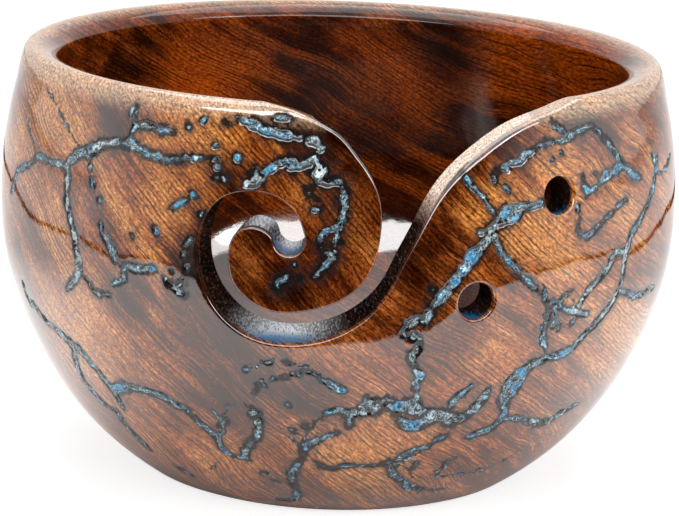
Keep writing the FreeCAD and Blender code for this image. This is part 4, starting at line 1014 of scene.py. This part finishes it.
    wave = m.noise(mm, 0.11, 2.0, 0.5)
    height = m.math("ADD", m.math("MULTIPLY", wave, 0.5), m.math("MULTIPLY", speck, 0.03))
    height = m.math("ADD", height, m.math("MULTIPLY", m.math("MULTIPLY", streak, cut), 6.0))
    bump = m.node("ShaderNodeBump", {"Height": height, "Strength": 0.35, "Distance": 0.0004})
    low_inside = m.math("MULTIPLY", hollow, m.smooth(z, 34.0, 16.0))
    rough = m.math("ADD", m.math("MULTIPLY_ADD", speck, 0.02, 0.03), m.math("MULTIPLY", cut, 0.06))
    rough = m.math("ADD", rough, m.math("MULTIPLY", m.math("MAXIMUM", m.attribute("bore"), low_inside), 0.42))
    finish = {}
    for name, ior in (("thick", VARNISH_IOR), ("thin", THIN_IOR)):
        finish[name] = m.node("ShaderNodeBsdfPrincipled", {"Base Color": colour, "Roughness": rough,
                                                           "Normal": bump.outputs[0]})
        finish[name].inputs["IOR"].default_value = ior
    upper_inside = m.math("MULTIPLY", inner_wood, m.smooth(z, 48.0, 56.0))
    bare_shine = m.math("SUBTRACT", shine, m.attribute("tint"), clamp=True)
    dull_cut = m.math("SUBTRACT", cut, m.math("MULTIPLY", bare_shine, 1.2), clamp=True)
    upper_inside = m.math("MAXIMUM", upper_inside, m.attribute("inside_shade"))
    upper_inside = m.math("MAXIMUM", upper_inside, m.math("MULTIPLY", char, 0.65))
    surface = m.node("ShaderNodeMixShader", {0: upper_inside, 1: finish["thick"].outputs[0],
                                             2: finish["thin"].outputs[0]})
    burnt_wood = m.node("ShaderNodeBsdfDiffuse", {"Color": colour})
    surface = m.node("ShaderNodeMixShader", {0: dull_cut, 1: surface.outputs[0], 2: burnt_wood.outputs[0]})
    m.tree.links.new(surface.outputs[0], m.out.inputs["Surface"])
    return m.material


# The varnish lies thick outside and thin inside, and the burnt cut faces are dull
VARNISH_IOR = 2.1
THIN_IOR = 1.42


def resin_material():
    m = Nodes("cast_resin")
    where = m.node("ShaderNodeTexCoord").outputs["Object"]
    mm = m.node("ShaderNodeVectorMath", {0: where, "Scale": 1000.0}, operation="SCALE").outputs[0]
    rim, crust_here, clear = m.attribute("rim"), m.attribute("crust"), m.attribute("clear")
    wide = m.noise(mm, 0.16, 3.0, 0.6, 0.4)
    mid = m.noise(mm, 0.45, 3.0, 0.6, 0.9)
    fine = m.noise(mm, 1.8, 2.0, 0.6)
    pool_here = m.attribute("pool")
    veins = m.math("ABSOLUTE", m.math("SUBTRACT", m.noise(mm, 0.5, 3.0, 0.6, 1.4), 0.5))
    spread = m.math("MULTIPLY_ADD", m.math("ADD", m.math("MULTIPLY", mid, 0.75), m.math("MULTIPLY", fine, 0.25)), 2.6,
                    -0.91)
    ramp = m.node("ShaderNodeValToRGB", {0: spread})
    # The near-white end of this ramp gives pale specks: partly the resin's flakes, partly painted glints
    stops = [(0.30, rgb(4, 13, 18)), (0.42, rgb(10, 46, 62)), (0.52, rgb(6, 92, 132)), (0.63, rgb(62, 148, 180)),
             (0.78, rgb(222, 240, 240))]
    elements = ramp.color_ramp.elements
    while len(elements) < len(stops):
        elements.new(0.5)
    for element, (position, colour) in zip(elements, stops):
        element.position = position
        element.color = colour
    colour = ramp.outputs[0]
    colour = m.mix(m.math("MULTIPLY", m.smooth(wide, 0.56, 0.66), 0.5), colour, rgb(18, 84, 160))
    grey = m.mix(m.smooth(mid, 0.40, 0.62), rgb(16, 24, 28), rgb(214, 226, 226))
    colour = m.mix(m.math("MULTIPLY", m.math("MAXIMUM", clear, m.math("MULTIPLY", crust_here, 0.5)), 0.85), colour, grey)
    pale = m.math("MULTIPLY", m.smooth(veins, 0.035, 0.006), m.smooth(rim, 0.2, 0.4))
    colour = m.mix(m.math("MULTIPLY", pale, 0.60), colour, rgb(206, 230, 234))
    deep = m.mix(m.smooth(fine, 0.42, 0.62), rgb(0, 92, 146), rgb(74, 178, 214))
    colour = m.mix(m.math("MULTIPLY", m.smooth(pool_here, 0.1, 0.8), 0.9), colour, deep)
    edge_glow = m.math("MULTIPLY", m.smooth(rim, 0.16, 0.26), m.smooth(rim, 0.60, 0.36))
    colour = m.mix(m.math("MULTIPLY", edge_glow, 0.18), colour, rgb(118, 184, 204))
    colour = m.mix(m.math("MULTIPLY", m.smooth(rim, 0.28, 0.06), 0.9), colour, rgb(6, 15, 18))
    pit = m.smooth(m.noise(mm, 1.15, 2.0, 0.6), 0.55, 0.61)
    colour = m.mix(m.math("MULTIPLY", m.math("MULTIPLY", pit, m.math("ADD", 0.30, crust_here, clamp=True)), 0.9),
                   colour, rgb(5, 11, 14))
    height = m.math("ADD", m.math("MULTIPLY", mid, 1.2), m.math("MULTIPLY", fine, 0.35))
    bump = m.node("ShaderNodeBump", {"Height": height, "Strength": 0.65, "Distance": 0.0009})
    shader = m.node("ShaderNodeBsdfPrincipled", {"Base Color": colour, "Normal": bump.outputs[0]})
    shader.inputs["Roughness"].default_value = 0.07
    shader.inputs["IOR"].default_value = 1.9
    m.tree.links.new(shader.outputs[0], m.out.inputs["Surface"])
    return m.material


bowl.data.materials.append(wood_material())
resin_look = resin_material()
for piece in resin_pieces:
    if piece:
        piece.data.materials.append(resin_look)

# ---------------------------------------------------------------- floor, surroundings and light, in metres
FLOOR_SIZE = 3.0
FLOOR_DROP = 0.0002
# The table's edge and the dark gap beyond it, as the varnish mirrors them: azimuth in degrees, distance
TABLE_EDGE = [
    (-180, 0.36), (-140, 0.38), (-128, 0.365), (-120, 0.33), (-108, 0.297), (-92, 0.303), (-84, 0.30), (-72, 0.258),
    (-64, 0.262), (-54, 0.282), (-45, 0.258), (-38, 0.22), (-30, 0.18), (-15, 0.145), (0, 0.128), (15, 0.14),
    (28, 0.155), (38, 0.198), (48, 0.235), (62, 0.275), (80, 0.31), (94, 0.29), (105, 0.266), (120, 0.30),
    (135, 0.338), (150, 0.34), (180, 0.36),
]
GAP = 0.022
CURTAIN_RADIUS = 1.2
CURTAIN_TOP = 0.58
# How bright the curtain in front of the bowl is, from azimuth to azimuth
CURTAIN = [(-84, 1.0), (-60, 0.45), (-36, 0.0), (48, 0.0), (64, 0.45), (84, 1.0)]


def flat_panel(name, corners):
    mesh = bpy.data.meshes.new(name)
    mesh.from_pydata(corners, [], [tuple(range(4 * k, 4 * k + 4)) for k in range(len(corners) // 4)])
    obj = bpy.data.objects.new(name, mesh)
    bpy.context.scene.collection.objects.link(obj)
    return obj


def floor_material():
    """White with a soft shadow where the camera or clear glass sees it, and plain white for the light."""
    m = Nodes("white_floor")
    rays = m.node("ShaderNodeLightPath").outputs
    seen = m.math("MAXIMUM", rays["Is Camera Ray"], rays["Is Transmission Ray"])

    def shaded_white(glow, share):
        light = m.node("ShaderNodeEmission", {"Color": (1, 1, 1, 1), "Strength": glow})
        faint = m.node("ShaderNodeBsdfDiffuse", {"Color": (share, share, share, 1)})
        return m.node("ShaderNodeAddShader", {0: light.outputs[0], 1: faint.outputs[0]}).outputs[0]

    # As the varnish mirrors it, the floor glows with painted light beside the foot, and its glow fades away at the
    # foot's front as a painted shadow
    x, y, z = m.node("ShaderNodeSeparateXYZ", {0: m.node("ShaderNodeTexCoord").outputs["Object"]}).outputs
    away = m.math("SQRT", m.math("ADD", m.math("MULTIPLY", x, x), m.math("MULTIPLY", y, y)))
    painted_light_beside = m.math("MULTIPLY", m.smooth(m.math("ABSOLUTE", x), 0.03, 0.09), m.smooth(y, -0.08, -0.01))
    painted_light_beside = m.math("MULTIPLY", painted_light_beside, m.smooth(away, 0.22, 0.13))
    painted_light_beside = m.math("MULTIPLY", painted_light_beside, m.math("MULTIPLY_ADD", m.smooth(x, 0.02, -0.02), 0.30, 0.35))
    strength = m.math("MULTIPLY_ADD", m.smooth(away, 0.045, 0.09), 0.15, painted_light_beside)
    plain = m.node("ShaderNodeBsdfDiffuse", {"Color": (0.8, 0.8, 0.8, 1)})
    mirrored = m.node("ShaderNodeMixShader", {0: rays["Is Glossy Ray"], 1: plain.outputs[0],
                                              2: shaded_white(strength, 0.82)})
    mixed = m.node("ShaderNodeMixShader", {0: seen, 1: mirrored.outputs[0], 2: shaded_white(0.80, 0.35)})
    m.tree.links.new(mixed.outputs[0], m.out.inputs["Surface"])
    return m.material


def curtain_material():
    m = Nodes("dark_curtain")
    glow = m.node("ShaderNodeEmission", {"Color": m.node("ShaderNodeAttribute", attribute_name="bright").outputs[
        "Color"], "Strength": 1.0})
    m.tree.links.new(glow.outputs[0], m.out.inputs["Surface"])
    return m.material


floor = flat_panel("floor", [(-FLOOR_SIZE, -FLOOR_SIZE, -FLOOR_DROP), (FLOOR_SIZE, -FLOOR_SIZE, -FLOOR_DROP),
                             (FLOOR_SIZE, FLOOR_SIZE, -FLOOR_DROP), (-FLOOR_SIZE, FLOOR_SIZE, -FLOOR_DROP)])
floor.data.materials.append(floor_material())

corners, bright = [], []


def ring_point(azimuth, radius, z):
    a = math.radians(azimuth)
    return radius * math.sin(a), -radius * math.cos(a), z


edge_az, edge_r = zip(*TABLE_EDGE)
curtain_az, curtain_bright = zip(*CURTAIN)
for azimuth in range(-180, 180, 3):
    ends = (azimuth, azimuth + 3)
    near_r = [float(np.interp(a, edge_az, edge_r)) for a in ends]
    corners += [ring_point(ends[0], near_r[0], 0), ring_point(ends[1], near_r[1], 0),
                ring_point(ends[1], near_r[1] + GAP, 0), ring_point(ends[0], near_r[0] + GAP, 0)]
    bright += [0.0] * 4
    if curtain_az[0] <= azimuth < curtain_az[-1]:
        light = [float(np.interp(a, curtain_az, curtain_bright)) for a in ends]
        corners += [ring_point(ends[0], near_r[0] + GAP, 0), ring_point(ends[1], near_r[1] + GAP, 0),
                    ring_point(ends[1], CURTAIN_RADIUS, 0), ring_point(ends[0], CURTAIN_RADIUS, 0),
                    ring_point(ends[0], CURTAIN_RADIUS, 0), ring_point(ends[1], CURTAIN_RADIUS, 0),
                    ring_point(ends[1], CURTAIN_RADIUS, CURTAIN_TOP), ring_point(ends[0], CURTAIN_RADIUS, CURTAIN_TOP)]
        bright += [light[0], light[1], light[1], light[0]] * 2
curtain = flat_panel("curtain", corners)
layer = curtain.data.attributes.new("bright", "FLOAT_COLOR", "POINT")
layer.data.foreach_set("color", np.array([(b, b, b, 1.0) for b in bright], np.float32).ravel())
curtain.data.materials.append(curtain_material())
curtain.visible_camera = False
curtain.visible_shadow = False
curtain.visible_diffuse = False
curtain.visible_transmission = False

world = bpy.data.worlds.new("white_room")
world.use_nodes = True
tree = world.node_tree
tree.nodes.clear()
background = tree.nodes.new("ShaderNodeBackground")
output = tree.nodes.new("ShaderNodeOutputWorld")
path_node = tree.nodes.new("ShaderNodeLightPath")
seen = tree.nodes.new("ShaderNodeMath")
seen.operation = "MAXIMUM"
seen2 = tree.nodes.new("ShaderNodeMath")
seen2.operation = "MAXIMUM"
strength = tree.nodes.new("ShaderNodeMapRange")
strength.inputs[3].default_value = 0.32
strength.inputs[4].default_value = 1.0
tree.links.new(path_node.outputs["Is Camera Ray"], seen.inputs[0])
tree.links.new(path_node.outputs["Is Glossy Ray"], seen.inputs[1])
tree.links.new(seen.outputs[0], seen2.inputs[0])
tree.links.new(path_node.outputs["Is Transmission Ray"], seen2.inputs[1])
tree.links.new(seen2.outputs[0], strength.inputs[0])
tree.links.new(strength.outputs[0], background.inputs["Strength"])
tree.links.new(background.outputs[0], output.inputs["Surface"])
background.inputs["Color"].default_value = (1, 1, 1, 1)
bpy.context.scene.world = world


def area_light(name, position, target, width, depth, watts):
    data = bpy.data.lights.new(name, "AREA")
    data.energy = watts
    data.shape = "RECTANGLE"
    data.size = width
    data.size_y = depth
    obj = bpy.data.objects.new(name, data)
    obj.location = position
    obj.rotation_euler = (Vector(target) - Vector(position)).to_track_quat("-Z", "Y").to_euler()
    bpy.context.scene.collection.objects.link(obj)
    obj.visible_camera = False
    return obj


area_light("window", (0.1, -1.0, 0.73), (0, 0, 0.08), 2.8, 0.30, 15.0)
area_light("side_window", (0.84, -0.53, 0.56), (0, 0, 0.05), 0.4, 0.25, 1.4)
area_light("ceiling", (0.0, 0.25, 1.3), (0, 0, 0), 1.4, 1.4, 15.0)

# ---------------------------------------------------------------- camera, as the photo was taken
CAMERA_DISTANCE = 0.700
CAMERA_ELEVATION = 13.606
CAMERA_ROLL = 2.115
CAMERA_TARGET = Vector((0.000864, 0.0, 0.046647))
CAMERA_LENS = 162.80

elevation, roll = math.radians(CAMERA_ELEVATION), math.radians(CAMERA_ROLL)
position = Vector((0.0, CAMERA_TARGET.y - CAMERA_DISTANCE * math.cos(elevation),
                   CAMERA_TARGET.z + CAMERA_DISTANCE * math.sin(elevation)))
forward = (CAMERA_TARGET - position).normalized()
right0 = forward.cross(Vector((0, 0, 1))).normalized()
up0 = right0.cross(forward)
right = right0 * math.cos(roll) + up0 * math.sin(roll)
up = up0 * math.cos(roll) - right0 * math.sin(roll)
camera_data = bpy.data.cameras.new("camera")
camera_data.lens = CAMERA_LENS
camera_data.sensor_width = 36.0
camera_data.clip_end = 20.0
camera = bpy.data.objects.new("camera", camera_data)
camera.matrix_world = Matrix((
    (right.x, up.x, -forward.x, position.x),
    (right.y, up.y, -forward.y, position.y),
    (right.z, up.z, -forward.z, position.z),
    (0, 0, 0, 1),
))
bpy.context.scene.collection.objects.link(camera)
bpy.context.scene.camera = camera
bpy.context.scene.view_settings.view_transform = "Standard"
